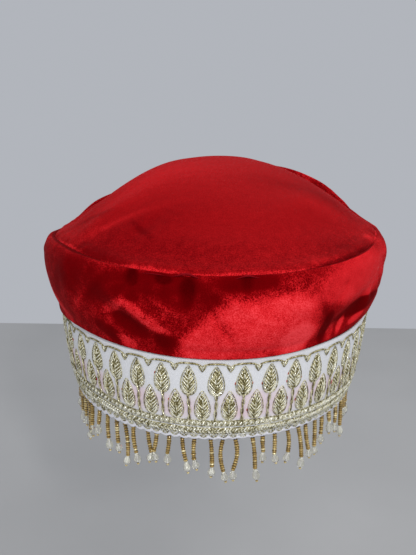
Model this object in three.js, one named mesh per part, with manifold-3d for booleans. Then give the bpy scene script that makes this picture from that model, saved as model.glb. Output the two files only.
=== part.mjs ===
// A soft round cap of red velvet. A domed oval tip is sewn to a puffed side wall, and an off-white
// ribbon with two rows of gold braid goes round the lower side, above a fringe of hanging beads.
// Millimetres, +Z up. The origin is the centre of the head opening, in the plane of the rim; the front
// is at -Y. Angles are in degrees round the cap from the front, growing towards +X.

import * as THREE from 'three';
import { mergeVertices } from 'three/addons/utils/BufferGeometryUtils.js';
import Module from 'manifold-3d';

// The rim's oval is the ribbon's outer face at its lower edge, for a cap of size 57
const RIM_HALF_WIDTH = 88.8;
const RIM_HALF_DEPTH = 97.7;

// The ribbon leans outwards as it rises, and bows a little between its edges
const TRIM_HEIGHT = 51;
const TRIM_FLARE = 7.3;
const TRIM_BOW = 1;

// Layers, from the velvet out
const VELVET = 1.6;
const TAPE = 0.8;
const RIBBON = 1.2;
const BRAID = 1;
const LAYER_GAP = 0.3;
const SEAM_GAP = 0.35;

// The top of the dome stands a little behind the middle of the cap
const DOME_HEIGHT = 135;
const DOME_BACK = 8;
const DOME_FOOT = 98;

const ROUND_STEPS = 72;

// The side wall's section: its way from the rim to the seam, and how far it reaches out from the
// rim's oval where the velvet is drawn in and where it is puffed out
const SIDE_SECTION = {
  columns: ['way', 'height', 'drawn', 'puffed'],
  rows: [
    [0.0, 0.0, -2.6, -2.6],
    [0.06, 8.0, -1.2, -1.2],
    [0.1, 12.5, 0.9, 0.9],
    [0.24, 30.0, 3.7, 3.7],
    [0.38, 48.5, 5.5, 5.5],
    [0.4, 51.3, 5.7, 5.7],
    [0.43, 53.2, 7.6, 7.6],
    [0.47, 56.5, 10.0, 10.6],
    [0.54, 64.0, 12.0, 14.0],
    [0.62, 72.0, 13.1, 16.0],
    [0.7, 80.0, 13.6, 17.2],
    [0.79, 90.0, 13.4, 17.4],
    [0.86, 95.5, 12.2, 15.4],
    [0.93, 97.5, 11.0, 12.6],
    [1.0, 97.0, 9.8, 9.4],
  ],
};
const SIDE_INNER_WAYS = [0, 0.06, 0.1, 0.4, 0.54, 0.7, 0.86, 1];

// How the section changes round the cap: the share of the puff, the rise of the seam, and the rise of
// the shoulder just outside the seam
const AROUND = {
  columns: ['angle', 'puff', 'lift', 'shoulder'],
  rows: [
    [-180, 0.7, 7.5, 2],
    [-150, 0.2, 2.5, 2],
    [-125, 0.1, -3.0, 2.5],
    [-105, 0.6, -8.5, -3.5],
    [-85, 0.7, -5.5, 0.5],
    [-60, 0.95, 0.0, 0],
    [-25, 0.1, 0.0, 0],
    [0, 0.0, 0.0, 0],
    [25, 0.0, 0.0, 0],
    [60, 0.35, 0.0, 0],
    [85, 0.45, -0.8, -1],
    [112, 0.4, -3.0, 1.5],
    [135, 1.0, 4.0, 8.5],
    [157, 1.0, 11.0, 7.5],
    [180, 0.7, 7.5, 2],
  ],
};
const LIFT_FROM = 55;
const LIFT_OVER = 38;
const SHOULDER_WAY = 0.87;
const SHOULDER_SPREAD = 0.09;

// Folds of the side wall: the middle's angle and height, the slant from level, half the length and
// half the width, and how far the velvet stands out, or is drawn in where that is negative
const SIDE_FOLDS = {
  columns: ['angle', 'height', 'slant', 'length', 'width', 'out'],
  rows: [
    [-8.5, 90, 90, 9, 6, -3.2],
    [9, 92, 90, 7, 6, -2.4],
    [-21, 94, 10, 14, 4, -1.4],
    [49, 66, 21, 28, 7, -4.0],
    [17, 70, 20, 28, 13, 2.4],
    [-25.5, 77, -22, 20, 6, 2.6],
    [-28, 68.5, -22, 15, 6, -3.2],
    [-7, 74, 43, 15, 7, -2.2],
    [-51, 84, 90, 16, 8, 1.6],
    [75, 88, 60, 18, 8, 1.5],
    [97, 70, 16, 24, 9, -2.4],
    [-88, 68, -20, 22, 8, -2.2],
    [-128, 72, 18, 26, 9, -2.4],
    [132, 72, -15, 26, 9, -2.6],
    [176, 76, 8, 30, 10, -2.2],
  ],
};
const FOLD_ARC = 105;
const FOLDS_FROM = 52;
const FOLDS_OVER = 7;
const FOLDS_SEAM_SHARE = 0.08;

// The tip's section from the middle to its edge: how much of the dome's rise is left
const TIP_SECTION = {
  columns: ['share', 'rise'],
  rows: [
    [0.0, 1.0],
    [0.2, 0.97],
    [0.4, 0.86],
    [0.6, 0.64],
    [0.8, 0.33],
    [0.92, 0.115],
    [0.97, 0.06],
    [1.0, 0.0],
  ],
};
const TIP_INNER_SHARES = [0, 0.2, 0.4, 0.6, 0.8, 0.93, 1];

// Folds of the tip, in plan: the middle, the slant from +X, half the length and half the width, and rise
const TIP_FOLDS = {
  columns: ['x', 'y', 'slant', 'length', 'width', 'out'],
  rows: [
    [-64, -45, 28, 24, 8, 1.8],
    [-38, -66, 40, 12, 5, -1.3],
    [50, -36, 53, 35, 10, 2.0],
    [62, -52, 45, 24, 9, -1.6],
    [0, -76, 0, 36, 14, -1.5],
    [-42, 52, -32, 26, 10, -1.6],
    [34, 58, 28, 26, 9, 1.6],
    [-62, 34, 55, 40, 18, -10.5],
  ],
};
const TIP_FOLDS_EDGE_SHARE = 0.12;

// The fringe: strands of seed beads, each with a drop at its end. One third of the rim is tabled, left
// to right across the front, and the other two thirds start it at another row. The columns are the
// strand's place along the rim, the sway of its beads, the further sway of its drop, and the depths
// where the drop starts and ends
const FRINGE = {
  columns: ['shift', 'sway', 'kick', 'beads', 'end'],
  rows: [
    [-0.9, -1.6, 1.6, 18.0, 25.5],
    [1.2, -2.0, -1.5, 13.0, 21.5],
    [2.6, -0.2, 1.4, 17.5, 25.5],
    [2.6, 0.8, 1.0, 17.0, 23.5],
    [0.7, 2.6, -1.6, 22.5, 29.8],
    [0.2, 1.6, 1.4, 18.5, 25.5],
    [2.2, 2.4, -1.4, 15.0, 22.0],
    [0.4, -2.2, 1.6, 14.0, 20.8],
    [0.1, -1.2, 0.4, 13.5, 20.8],
    [0.1, 2.2, 1.4, 16.5, 24.2],
    [-0.4, -0.4, 1.8, 15.0, 21.8],
    [0.7, 1.2, -0.6, 19.0, 26.0],
    [0.5, 0.2, 1.6, 22.0, 29.2],
    [-1.2, -0.6, 0.4, 21.5, 28.5],
    [1.5, 2.4, 1.4, 21.9, 30.5],
    [0.2, 0.6, -0.4, 12.0, 19.0],
    [-0.3, 0.4, 1.6, 15.0, 21.5],
    [0.2, 1.6, -1.8, 16.0, 22.8],
    [0.1, 4.4, -0.6, 22.5, 30.5],
    [-1.6, 3.8, 1.2, 19.5, 26.0],
    [-1.4, 1.2, 0.6, 19.8, 25.8],
    [-2.5, 0.4, 0.6, 14.2, 21.0],
    [-2.5, 2.2, 0.4, 9.8, 18.5],
    [-1.6, 1.8, 0.8, 14.5, 21.5],
  ],
};
const FRINGE_TURNS = [0, 10, 19];
const FRINGE_FIRST_ANGLE = -56.6;
const STRAND_SIDES = 5;
const STRAND_RADIUS = 1.1;
const STRAND_TOP = 2.2;
const THREAD_RADIUS = 0.3;
const THREAD_LOW = 1.8;
const THREAD_TOP = 0.5;
const DROP_RADIUS = 2.1;
const DROP_WIDEST_SHARE = 0.6;
const TAPE_LOW = -1.5;
const TAPE_HIGH = 8;

// Each row of braid: the heights of its foot and head, rounded off on the outer face
const BRAID_LOWER = { low: 1.2, high: 7.6 };
const BRAID_UPPER = { low: 8, high: 12.4 };
const BRAID_ROUNDING = 0.8;

const VELVET_RED = 0xa30d17;
const RIBBON_WHITE = 0xe4dde2;
const BRAID_GOLD = 0xb5a878;
const BEAD_BRONZE = 0x9c7034;

const TURN = 360;
const SMALL_STEP = 0.01;

// A smooth curve through a table's rows, giving its other columns by name at a place along the first
function through({ columns, rows }) {
  const names = columns.slice(1);
  const places = rows.map((row) => row[0]);
  const values = rows.flatMap((row) => row.slice(1));
  const curve = new THREE.CubicInterpolant(places, values, names.length);
  return (place) => {
    const found = curve.evaluate(place);
    return Object.fromEntries(names.map((name, column) => [name, found[column]]));
  };
}

function named({ columns, rows }) {
  return rows.map((row) => Object.fromEntries(columns.map((name, column) => [name, row[column]])));
}

const sideSection = through(SIDE_SECTION);
const around = through(AROUND);
const tipSection = through(TIP_SECTION);
const sideFolds = named(SIDE_FOLDS);
const tipFolds = named(TIP_FOLDS);

// The angle turned back into the half turn on either side of the front
function wrapped(angle) {
  return THREE.MathUtils.euclideanModulo(angle + TURN / 2, TURN) - TURN / 2;
}

// One fold is a long soft mound, highest at its middle and fading along and across its slant
function mound(fold, right, up) {
  const slant = THREE.MathUtils.degToRad(fold.slant);
  const along = right * Math.cos(slant) + up * Math.sin(slant);
  const across = up * Math.cos(slant) - right * Math.sin(slant);
  return fold.out * Math.exp(-((along / fold.length) ** 2) - (across / fold.width) ** 2);
}

// The point that reaches out from the rim's oval by so much, at an angle and a height
function onOval(angle, reach, height, share = 1) {
  const turn = THREE.MathUtils.degToRad(angle);
  const x = (RIM_HALF_WIDTH + reach) * share * Math.sin(turn);
  const y = -(RIM_HALF_DEPTH + reach) * share * Math.cos(turn);
  return new THREE.Vector3(x, y, height);
}

// The velvet side's outer face, by angle and by way from the rim to the seam
function sideFace(angle, way) {
  const { height, drawn, puffed } = sideSection(way);
  const { puff, lift, shoulder } = around(wrapped(angle));
  const toSeam = THREE.MathUtils.smoothstep(1 - way, 0, FOLDS_SEAM_SHARE);
  const fade = THREE.MathUtils.smoothstep(height, FOLDS_FROM, FOLDS_FROM + FOLDS_OVER) * toSeam;
  const arc = (fold) => THREE.MathUtils.degToRad(wrapped(angle - fold.angle)) * FOLD_ARC;
  const folds = sideFolds.reduce((sum, fold) => sum + mound(fold, arc(fold), height - fold.height), 0);
  const rise = lift * THREE.MathUtils.smoothstep(height, LIFT_FROM, LIFT_FROM + LIFT_OVER);
  const ridge = shoulder * Math.exp(-(((way - SHOULDER_WAY) / SHOULDER_SPREAD) ** 2)) * toSeam;
  return onOval(angle, drawn + (puffed - drawn) * puff + folds * fade, height + rise + ridge);
}

// The velvet tip's outer face, by angle and by way from the seam to the middle
function tipFace(angle, way) {
  const share = 1 - way;
  const { puff, lift } = around(wrapped(angle));
  const seam = sideSection(1);
  const reach = seam.drawn + (seam.puffed - seam.drawn) * puff - SEAM_GAP;
  const foot = DOME_FOOT + (seam.height + lift - DOME_FOOT) * share ** 2;
  const point = onOval(angle, reach, foot + (DOME_HEIGHT - foot) * tipSection(share).rise, share);
  point.y += DOME_BACK * (1 - share ** 2);
  const fade = THREE.MathUtils.smoothstep(way, 0, TIP_FOLDS_EDGE_SHARE);
  const folds = tipFolds.reduce((sum, fold) => sum + mound(fold, point.x - fold.x, point.y - fold.y), 0);
  point.z += folds * fade;
  return point;
}

// A face that lies so far out from the ribbon's own, by angle and by way up the ribbon
function trimFace(out) {
  return (angle, way) => {
    const reach = TRIM_FLARE * way + TRIM_BOW * Math.sin(Math.PI * way) + out;
    return onOval(angle, reach, TRIM_HEIGHT * way);
  };
}

// The point so far below a face, straight in from it
function below(face, angle, way, depth) {
  const point = face(angle, way);
  const near = Math.min(way, 1 - SMALL_STEP * 2);
  const round = face(angle + 1, near).sub(face(angle - 1, near));
  const along = face(angle, near + SMALL_STEP).sub(face(angle, near - SMALL_STEP));
  return point.addScaledVector(round.cross(along).normalize(), -depth);
}

// Moves each corner of a turned section to its place on the cap, given its angle, radius and height
function laid(geometry, place) {
  const position = geometry.attributes.position;
  const corner = new THREE.Vector3();
  for (let index = 0; index < position.count; index += 1) {
    corner.fromBufferAttribute(position, index);
    const angle = THREE.MathUtils.radToDeg(Math.atan2(corner.x, corner.z));
    place(angle, Math.hypot(corner.x, corner.z), corner.y, corner);
    position.setXYZ(index, corner.x, corner.y, corner.z);
  }
  geometry.computeVertexNormals();
  return geometry;
}

// A closed band of a face. The lathe turns a plain section, which goes up the outer ways at radius 2
// and back down the inner ways at radius 1, and the inner face then lies one thickness below the outer
function band(face, thickness, outerWays, innerWays) {
  const outer = outerWays.map((way) => new THREE.Vector2(2, way));
  const inner = innerWays.map((way) => new THREE.Vector2(1, way)).reverse();
  const section = [...outer, ...inner, outer[0].clone()];
  return laid(new THREE.LatheGeometry(section, ROUND_STEPS), (angle, radius, way, corner) => {
    corner.copy(below(face, angle, way, thickness * (2 - radius)));
  });
}

// A closed cap of a face, whose section goes out along the inner shares and back along the outer ones
function cap(face, thickness, outerShares, innerShares) {
  const inner = innerShares.map((share) => new THREE.Vector2(share, 0));
  const outer = outerShares.map((share) => new THREE.Vector2(share, 1)).reverse();
  return laid(new THREE.LatheGeometry([...inner, ...outer], ROUND_STEPS), (angle, share, side, corner) => {
    corner.copy(below(face, angle, 1 - share, thickness * (1 - side)));
  });
}

// One strand: a turned outline of thread, beads and drop, let down from the rim and swayed along it
function strand({ shift, sway, kick, beads, end }, place) {
  const drop = end - beads;
  const outline = [
    [0, end],
    [DROP_RADIUS, beads + drop * DROP_WIDEST_SHARE],
    [STRAND_RADIUS, beads],
    [STRAND_RADIUS, STRAND_TOP],
    [THREAD_RADIUS, THREAD_LOW],
    [0, THREAD_TOP],
  ].map(([radius, depth]) => new THREE.Vector2(radius, -depth));
  const reach = -RIBBON - LAYER_GAP - TAPE / 2;
  const angle = place + THREE.MathUtils.radToDeg(shift / RIM_HALF_DEPTH);
  const top = onOval(angle, reach, 0);
  const tangent = onOval(angle + 1, reach, 0).sub(onOval(angle - 1, reach, 0)).normalize();
  const outward = new THREE.Vector3(tangent.y, -tangent.x, 0);
  const aside = (depth) => sway * Math.min(depth / beads, 1) + kick * Math.max((depth - beads) / drop, 0);
  return laid(new THREE.LatheGeometry(outline, STRAND_SIDES), (turn, radius, height, corner) => {
    const across = radius * Math.sin(THREE.MathUtils.degToRad(turn)) + aside(-height);
    const out = radius * Math.cos(THREE.MathUtils.degToRad(turn));
    corner.copy(top).addScaledVector(tangent, across).addScaledVector(outward, out);
    corner.z = height;
  });
}

const wasm = await Module();
wasm.setup();

// A geometry as a solid for joining: corners merged, and the triangles that shrink to nothing dropped
function solid(geometry) {
  geometry.deleteAttribute('normal');
  geometry.deleteAttribute('uv');
  const merged = mergeVertices(geometry, SMALL_STEP / 10);
  const corners = Array.from(merged.index.array);
  const faces = [];
  for (let first = 0; first < corners.length; first += 3) {
    const face = corners.slice(first, first + 3);
    if (new Set(face).size === 3) {
      faces.push(...face);
    }
  }
  return new wasm.Manifold(
    new wasm.Mesh({
      numProp: 3,
      vertProperties: new Float32Array(merged.attributes.position.array),
      triVerts: new Uint32Array(faces),
    }),
  );
}

function geometryOf(body) {
  const { vertProperties, triVerts } = body.getMesh();
  const geometry = new THREE.BufferGeometry();
  geometry.setAttribute('position', new THREE.BufferAttribute(vertProperties, 3));
  geometry.setIndex(new THREE.BufferAttribute(triVerts, 1));
  geometry.computeVertexNormals();
  return geometry;
}

// The fringe tape behind the ribbon's foot, with every strand joined to its lower edge
function fringe() {
  const tapeWays = [TAPE_LOW / TRIM_HEIGHT, TAPE_HIGH / TRIM_HEIGHT];
  let body = solid(band(trimFace(-RIBBON - LAYER_GAP), TAPE, tapeWays, tapeWays));
  const rows = named(FRINGE);
  const strands = FRINGE_TURNS.flatMap((turn) => [...rows.slice(-turn), ...rows.slice(0, -turn)]);
  strands.forEach((row, index) => {
    const place = FRINGE_FIRST_ANGLE + (TURN * index) / strands.length;
    body = body.add(solid(strand(row, place)));
  });
  return geometryOf(body);
}

// One row of braid, standing on the ribbon
function braid({ low, high }) {
  const outer = [low + BRAID_ROUNDING, high - BRAID_ROUNDING].map((height) => height / TRIM_HEIGHT);
  const inner = [low, high].map((height) => height / TRIM_HEIGHT);
  return band(trimFace(LAYER_GAP + BRAID), BRAID, outer, inner);
}

const velvet = new THREE.MeshStandardMaterial({ color: VELVET_RED, roughness: 0.75 });
const ribbon = new THREE.MeshStandardMaterial({ color: RIBBON_WHITE, roughness: 0.8 });
const gold = new THREE.MeshStandardMaterial({ color: BRAID_GOLD, roughness: 0.4, metalness: 0.8 });
const beads = new THREE.MeshStandardMaterial({ color: BEAD_BRONZE, roughness: 0.3, metalness: 0.5 });

const velvetCap = new THREE.Group();

function place(name, geometry, material) {
  const mesh = new THREE.Mesh(geometry, material);
  mesh.name = name;
  velvetCap.add(mesh);
}

const sideWays = SIDE_SECTION.rows.map(([way]) => way);
const tipShares = TIP_SECTION.rows.map(([share]) => share);
const trimWays = [0, 0.5, 1];

place('crown_top', cap(tipFace, VELVET, tipShares, TIP_INNER_SHARES), velvet);
place('crown_side', band(sideFace, VELVET, sideWays, SIDE_INNER_WAYS), velvet);
place('trim_band', band(trimFace(0), RIBBON, trimWays, trimWays), ribbon);
place('braid_upper', braid(BRAID_UPPER), gold);
place('braid_lower', braid(BRAID_LOWER), gold);
place('bead_fringe', fringe(), beads);

export default velvetCap;
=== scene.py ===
import bpy
import numpy as np
from mathutils import Matrix, Vector


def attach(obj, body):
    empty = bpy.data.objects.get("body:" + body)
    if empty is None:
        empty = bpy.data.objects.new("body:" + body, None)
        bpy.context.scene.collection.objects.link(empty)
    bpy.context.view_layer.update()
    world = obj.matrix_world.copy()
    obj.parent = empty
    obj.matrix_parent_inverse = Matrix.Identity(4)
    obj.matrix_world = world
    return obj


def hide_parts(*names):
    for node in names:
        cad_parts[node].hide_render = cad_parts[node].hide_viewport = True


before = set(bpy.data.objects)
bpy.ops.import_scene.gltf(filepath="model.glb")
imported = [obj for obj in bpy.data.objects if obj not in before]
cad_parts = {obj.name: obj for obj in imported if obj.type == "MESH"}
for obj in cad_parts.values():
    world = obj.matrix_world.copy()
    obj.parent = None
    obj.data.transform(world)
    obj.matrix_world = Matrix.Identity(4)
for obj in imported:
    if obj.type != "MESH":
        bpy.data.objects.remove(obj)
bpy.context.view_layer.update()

# Velvet side wall
# A strip of red stretch velvet with a crushed, glossy pile, sewn into a ring. Its foot is held between
# the ribbon and the fringe tape, and above the ribbon it puffs out, creased and dented, up to the seam
# that joins it to the tip. All sizes are in millimetres, and angles in degrees from the front.
MM = 0.001
TAU = 2 * np.pi
RIM_HALF_WIDTH = 88.8
RIM_HALF_DEPTH = 97.7
VELVET = 1.6
FOLD_ARC = 105
FOLDS_FROM = 52
FOLDS_OVER = 7
FOLDS_SEAM_SHARE = 0.08
LIFT_FROM = 55
LIFT_OVER = 38
SHOULDER_WAY = 0.87
SHOULDER_SPREAD = 0.09
SMALL_STEP = 0.01
HEM_WAY = 0.447
HEM_SPREAD = 0.013
HEM_OUT = 0.5

# Angle, and how far the velvet's lowest roll hangs over the ribbon's top edge
HEM_SAG = [
    (-180, 2.5),
    (-110, 3.6),
    (-75, 4.6),
    (-52, 1.8),
    (-30, 2.4),
    (-8, 3.2),
    (25, 2.8),
    (45, 1.0),
    (62, -0.6),
    (90, 0.8),
    (180, 2.5),
]

# Way from the rim to the seam, height, and reach out from the rim's oval where drawn in and puffed out
SIDE_SECTION = [
    (0.0, 0.0, -2.6, -2.6),
    (0.06, 8.0, -1.2, -1.2),
    (0.1, 12.5, 0.9, 0.9),
    (0.24, 30.0, 3.7, 3.7),
    (0.38, 48.5, 5.5, 5.5),
    (0.4, 51.3, 5.7, 5.7),
    (0.43, 53.2, 7.6, 7.6),
    (0.47, 56.5, 10.0, 10.6),
    (0.54, 64.0, 12.0, 14.0),
    (0.62, 72.0, 13.1, 16.0),
    (0.7, 80.0, 13.6, 17.2),
    (0.79, 90.0, 13.4, 17.4),
    (0.86, 95.5, 12.2, 15.4),
    (0.93, 97.5, 11.0, 12.6),
    (1.0, 97.0, 9.8, 9.4),
]

# Angle, share of the puff, rise of the seam, and rise of the shoulder just outside it
AROUND = [
    (-180, 0.7, 7.5, 2),
    (-150, 0.2, 2.5, 2),
    (-125, 0.1, -3.0, 2.5),
    (-105, 0.6, -8.5, -3.5),
    (-85, 0.7, -5.5, 0.5),
    (-60, 0.95, 0.0, 0),
    (-25, 0.1, 0.0, 0),
    (0, 0.0, 0.0, 0),
    (25, 0.0, 0.0, 0),
    (60, 0.35, 0.0, 0),
    (85, 0.45, -0.8, -1),
    (112, 0.4, -3.0, 1.5),
    (135, 1.0, 4.0, 8.5),
    (157, 1.0, 11.0, 7.5),
    (180, 0.7, 7.5, 2),
]

# Folds: angle and height of the middle, slant, half length, half width, and how far the velvet stands out
SIDE_FOLDS = [
    (-8.5, 90, 90, 9, 6, -3.2),
    (9, 92, 90, 7, 6, -2.4),
    (-21, 94, 10, 14, 4, -1.4),
    (49, 66, 21, 28, 7, -4.0),
    (17, 70, 20, 28, 13, 2.4),
    (-25.5, 77, -22, 20, 6, 2.6),
    (-28, 68.5, -22, 15, 6, -3.2),
    (-7, 74, 43, 15, 7, -2.2),
    (-51, 84, 90, 16, 8, 1.6),
    (75, 88, 60, 18, 8, 1.5),
    (97, 70, 16, 24, 9, -2.4),
    (-88, 68, -20, 22, 8, -2.2),
    (-128, 72, 18, 26, 9, -2.4),
    (132, 72, -15, 26, 9, -2.6),
    (176, 76, 8, 30, 10, -2.2),
]

# Patches of crushed pile, painted with their sheen where they catch the light, and with shade where they
# turn from it, in its dents and under the seam: the same columns, ending in the light
SIDE_BASE_TONE = 0.39
SIDE_TONE_RANGE = (0.12, 0.74)
SEAM_PAINTED_SHADE_OVER = 0.03
DARK_GRAIN = 0.25
GRAIN_TONE_LEVELS = (0.3, 0.48)
SIDE_PAINTED_SHEEN_AND_SHADE = [
    (15, 70, 12, 30, 16, 0.4),
    (-1.5, 61, 18, 22, 10, 0.36),
    (1, 75, 40, 14, 6, 0.22),
    (26, 60, 20, 13, 7, 0.36),
    (22, 82, 6, 15, 5, 0.14),
    (54, 85, -3, 40, 14, 0.28),
    (45.5, 61, 50, 7, 2.2, 0.42),
    (53, 60, 12, 8, 2.2, 0.3),
    (-31.6, 76, 30, 10, 3, 0.18),
    (-21, 73, -34, 17, 3.4, 0.28),
    (-28.5, 57, -15, 7, 2.6, 0.26),
    (-44, 86, -6, 26, 11, -0.1),
    (-15, 82, -12, 13, 5, -0.08),
    (-35, 60, -18, 10, 4, -0.16),
    (-17, 92, 0, 28, 6, -0.13),
    (9, 94.5, 2, 19, 5, -0.14),
    (-27, 85, -8, 8, 4, -0.14),
    (27, 90, 0, 9, 7, 0.04),
    (-8.5, 88, 90, 8, 4.5, -0.22),
    (-25.5, 94, 90, 5, 4, -0.26),
    (-15.5, 94.5, 0, 5, 2.5, -0.26),
    (9, 93, 90, 5, 3, -0.14),
    (-27, 67, -22, 14, 5, -0.17),
    (-14.5, 60, -15, 8, 5, -0.26),
    (54, 66.5, 3, 23, 3.8, -0.48),
    (36.5, 63.5, 76, 8.5, 3.6, -0.5),
    (72, 94, 0, 10, 5, 0.1),
    (-58, 78, 70, 9, 5, -0.06),
    (-64, 62, -20, 18, 5, 0.24),
    (-78, 80, -35, 24, 6, 0.28),
    (-88, 62, 15, 22, 6, -0.22),
    (-100, 84, -18, 28, 5, -0.14),
    (-112, 70, -24, 30, 7, 0.3),
    (-128, 60, -20, 18, 4, 0.26),
    (-136, 80, 24, 26, 4.5, 0.28),
    (-150, 66, 24, 26, 6, -0.24),
    (-166, 84, 12, 28, 6, 0.18),
    (176, 68, -14, 36, 11, 0.34),
    (150, 84, -32, 24, 5, 0.26),
    (146, 63, -22, 20, 5, -0.22),
    (128, 57, 14, 22, 4, 0.28),
    (140, 94, 0, 60, 9, 0.02),
    (114, 78, 26, 30, 6, 0.3),
    (102, 66, 24, 28, 6, -0.22),
    (84, 82, 30, 26, 7, 0.28),
    (72, 58, 12, 18, 4, 0.25),
]

# Painted highlights on the flattest-laid pile, and painted shade in the gathers under the seam, added over
# the others: the same columns
SIDE_PAINTED_HIGHLIGHTS_AND_SHADE = [
    (26, 62, 20, 11, 8, 0.2),
    (40, 58.5, 60, 5, 3, 0.16),
    (31, 80, 0, 8, 4, 0.1),
    (43, 80, 0, 9, 5, 0.08),
    (2, 69, 10, 10, 5, -0.05),
    (-25.2, 94.3, 90, 5, 3, -0.14),
    (-15.5, 94.8, 0, 5, 2.6, -0.14),
    (-8, 90.5, 90, 8, 4, -0.09),
]

# Angle, and how much the pile's grain shows
GRAIN_AROUND = [
    (-180, 0.9),
    (-60, 1.0),
    (-22, 1.25),
    (0, 1.05),
    (25, 1.0),
    (42, 0.5),
    (75, 0.45),
    (110, 0.9),
    (180, 0.9),
]

# Angle, how dark the painted shade in the crease along the seam is, and the way up where it starts
SEAM_PAINTED_SHADE = [
    (-180, 0.22, 0.955),
    (-75, 0.3, 0.93),
    (-45, 0.34, 0.92),
    (-20, 0.26, 0.95),
    (12, 0.24, 0.95),
    (24, 0.3, 0.93),
    (36, 0.4, 0.92),
    (56, 0.4, 0.915),
    (64, 0.24, 0.945),
    (70, 0.05, 0.975),
    (80, 0.05, 0.975),
    (100, 0.22, 0.955),
    (180, 0.22, 0.955),
]

# Small creases, scattered over the whole wall, each raised or sunk a little, and painted lighter on a ridge
# and darker in a hollow
CREASE_SEED = 27
CREASES = 110
CREASE_HEIGHTS = (56, 94)
CREASE_SLANTS = (20, 70)
CREASE_LENGTHS = (7, 16)
CREASE_WIDTHS = (1.8, 3.6)
CREASE_OUT = 0.32
CREASE_PAINTED_LIGHT = 0.18


def through(rows, place):
    """A smooth curve through a table's rows, read at places along its first column. Between two rows it
    is a cubic, whose slope at each row is the mean of the slopes on that row's two sides."""
    table = np.array(rows)
    at, values = table[:, 0], table[:, 1:]
    steps = np.diff(at)
    slopes = np.diff(values, axis=0) / steps[:, None]
    slope = np.concatenate([slopes[:1], (slopes[:-1] + slopes[1:]) / 2, slopes[-1:]])
    row = np.clip(np.searchsorted(at, place, side="right") - 1, 0, len(steps) - 1)
    step = steps[row][..., None]
    part = (place - at[row])[..., None] / step
    rise = values[row + 1] - values[row]
    first, last = slope[row] * step, slope[row + 1] * step
    bend = 3 * rise - 2 * first - last
    curve = values[row] + part * (first + part * (bend + part * (first + last - 2 * rise)))
    return np.moveaxis(curve, -1, 0)


def smooth_step(value, low, high):
    """Nought below low, one above high, and 3t^2 - 2t^3 between them."""
    part = np.clip((value - low) / (high - low), 0, 1)
    return part * part * (3 - 2 * part)


def between(first, last, share):
    """A share of the way from the first value to the last: first + (last - first) x share."""
    return first + (last - first) * share


def bell(value, middle, spread):
    """One at the middle, and exp(-d^2) on both sides of it, d being the distance in spreads."""
    return np.exp(-(((value - middle) / spread) ** 2))


def even(count, whole):
    """So many even places from nought round a whole."""
    return np.arange(count) * whole / count


def unit(vectors):
    """Vectors divided by their own lengths."""
    return vectors / np.linalg.norm(vectors, axis=-1, keepdims=True)


def wrapped(angle):
    """The angle turned back into the half turn on either side of the front."""
    return (angle + 180) % 360 - 180


def oval(angle, reach, height, share=1):
    """The point at an angle that reaches out so far from the rim's oval: (half width + reach) sin, and
    -(half depth + reach) cos, both drawn in to a share of that, at a height."""
    turn = np.radians(angle)
    x = (RIM_HALF_WIDTH + reach) * share * np.sin(turn)
    y = -(RIM_HALF_DEPTH + reach) * share * np.cos(turn)
    return np.stack(np.broadcast_arrays(x, y, height), axis=-1)


def slanted(right, up, slant, length, width):
    """The square of the distance from a fold's middle, along and across its slant, in half lengths."""
    turn = np.radians(slant)
    along = right * np.cos(turn) + up * np.sin(turn)
    across = up * np.cos(turn) - right * np.sin(turn)
    return (along / length) ** 2 + (across / width) ** 2


def mound(right, up, slant, length, width, rise):
    """A long soft fold, or a soft patch of painted light or shade: rise x exp(-d^2), d being the slanted
    distance from its middle.
    """
    return rise * np.exp(-slanted(right, up, slant, length, width))


def patch(right, up, slant, length, width, light):
    """A patch of painted sheen or shade, with a flat middle and a short edge: light x exp(-d^6)."""
    return light * np.exp(-slanted(right, up, slant, length, width) ** 3)


def on_side(rows, shape, angle, height):
    """The sum of a table's mounds or patches about their own angles and heights on the side wall."""
    total = 0
    for middle, level, *form in rows:
        right = np.radians(wrapped(angle - middle)) * FOLD_ARC
        total = total + shape(right, height - level, *form)
    return total


def side_face(angle, way, creases=(), hem=0):
    """The velvet side's outer face by angle and way: the section blended from drawn in to puffed out, the
    folds fading towards the ribbon and the seam, the seam's rise and shoulder added to the height, and a
    share of the roll that hangs over the ribbon."""
    height, drawn, puffed = through(SIDE_SECTION, way)
    puff, lift, shoulder = through(AROUND, wrapped(angle))
    to_seam = smooth_step(1 - way, 0, FOLDS_SEAM_SHARE)
    fade = smooth_step(height, FOLDS_FROM, FOLDS_FROM + FOLDS_OVER) * to_seam
    folds = on_side([*SIDE_FOLDS, *creases], mound, angle, height)
    rise = lift * smooth_step(height, LIFT_FROM, LIFT_FROM + LIFT_OVER)
    ridge = shoulder * bell(way, SHOULDER_WAY, SHOULDER_SPREAD) * to_seam
    roll = hem * bell(way, HEM_WAY, HEM_SPREAD)
    sag = through(HEM_SAG, wrapped(angle))[0] * roll
    reach = between(drawn, puffed, puff) + folds * fade + HEM_OUT * roll
    return oval(angle, reach, height + rise + ridge - sag)


def below(face, angle, way, depth):
    """The point so far straight in from a face: its point less depth x the unit cross product of the
    steps round the cap and along the way."""
    near = np.minimum(way, 1 - 2 * SMALL_STEP)
    around = face(angle + 1, near) - face(angle - 1, near)
    along = face(angle, near + SMALL_STEP) - face(angle, near - SMALL_STEP)
    return face(angle, way) - depth * unit(np.cross(around, along))


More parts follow.
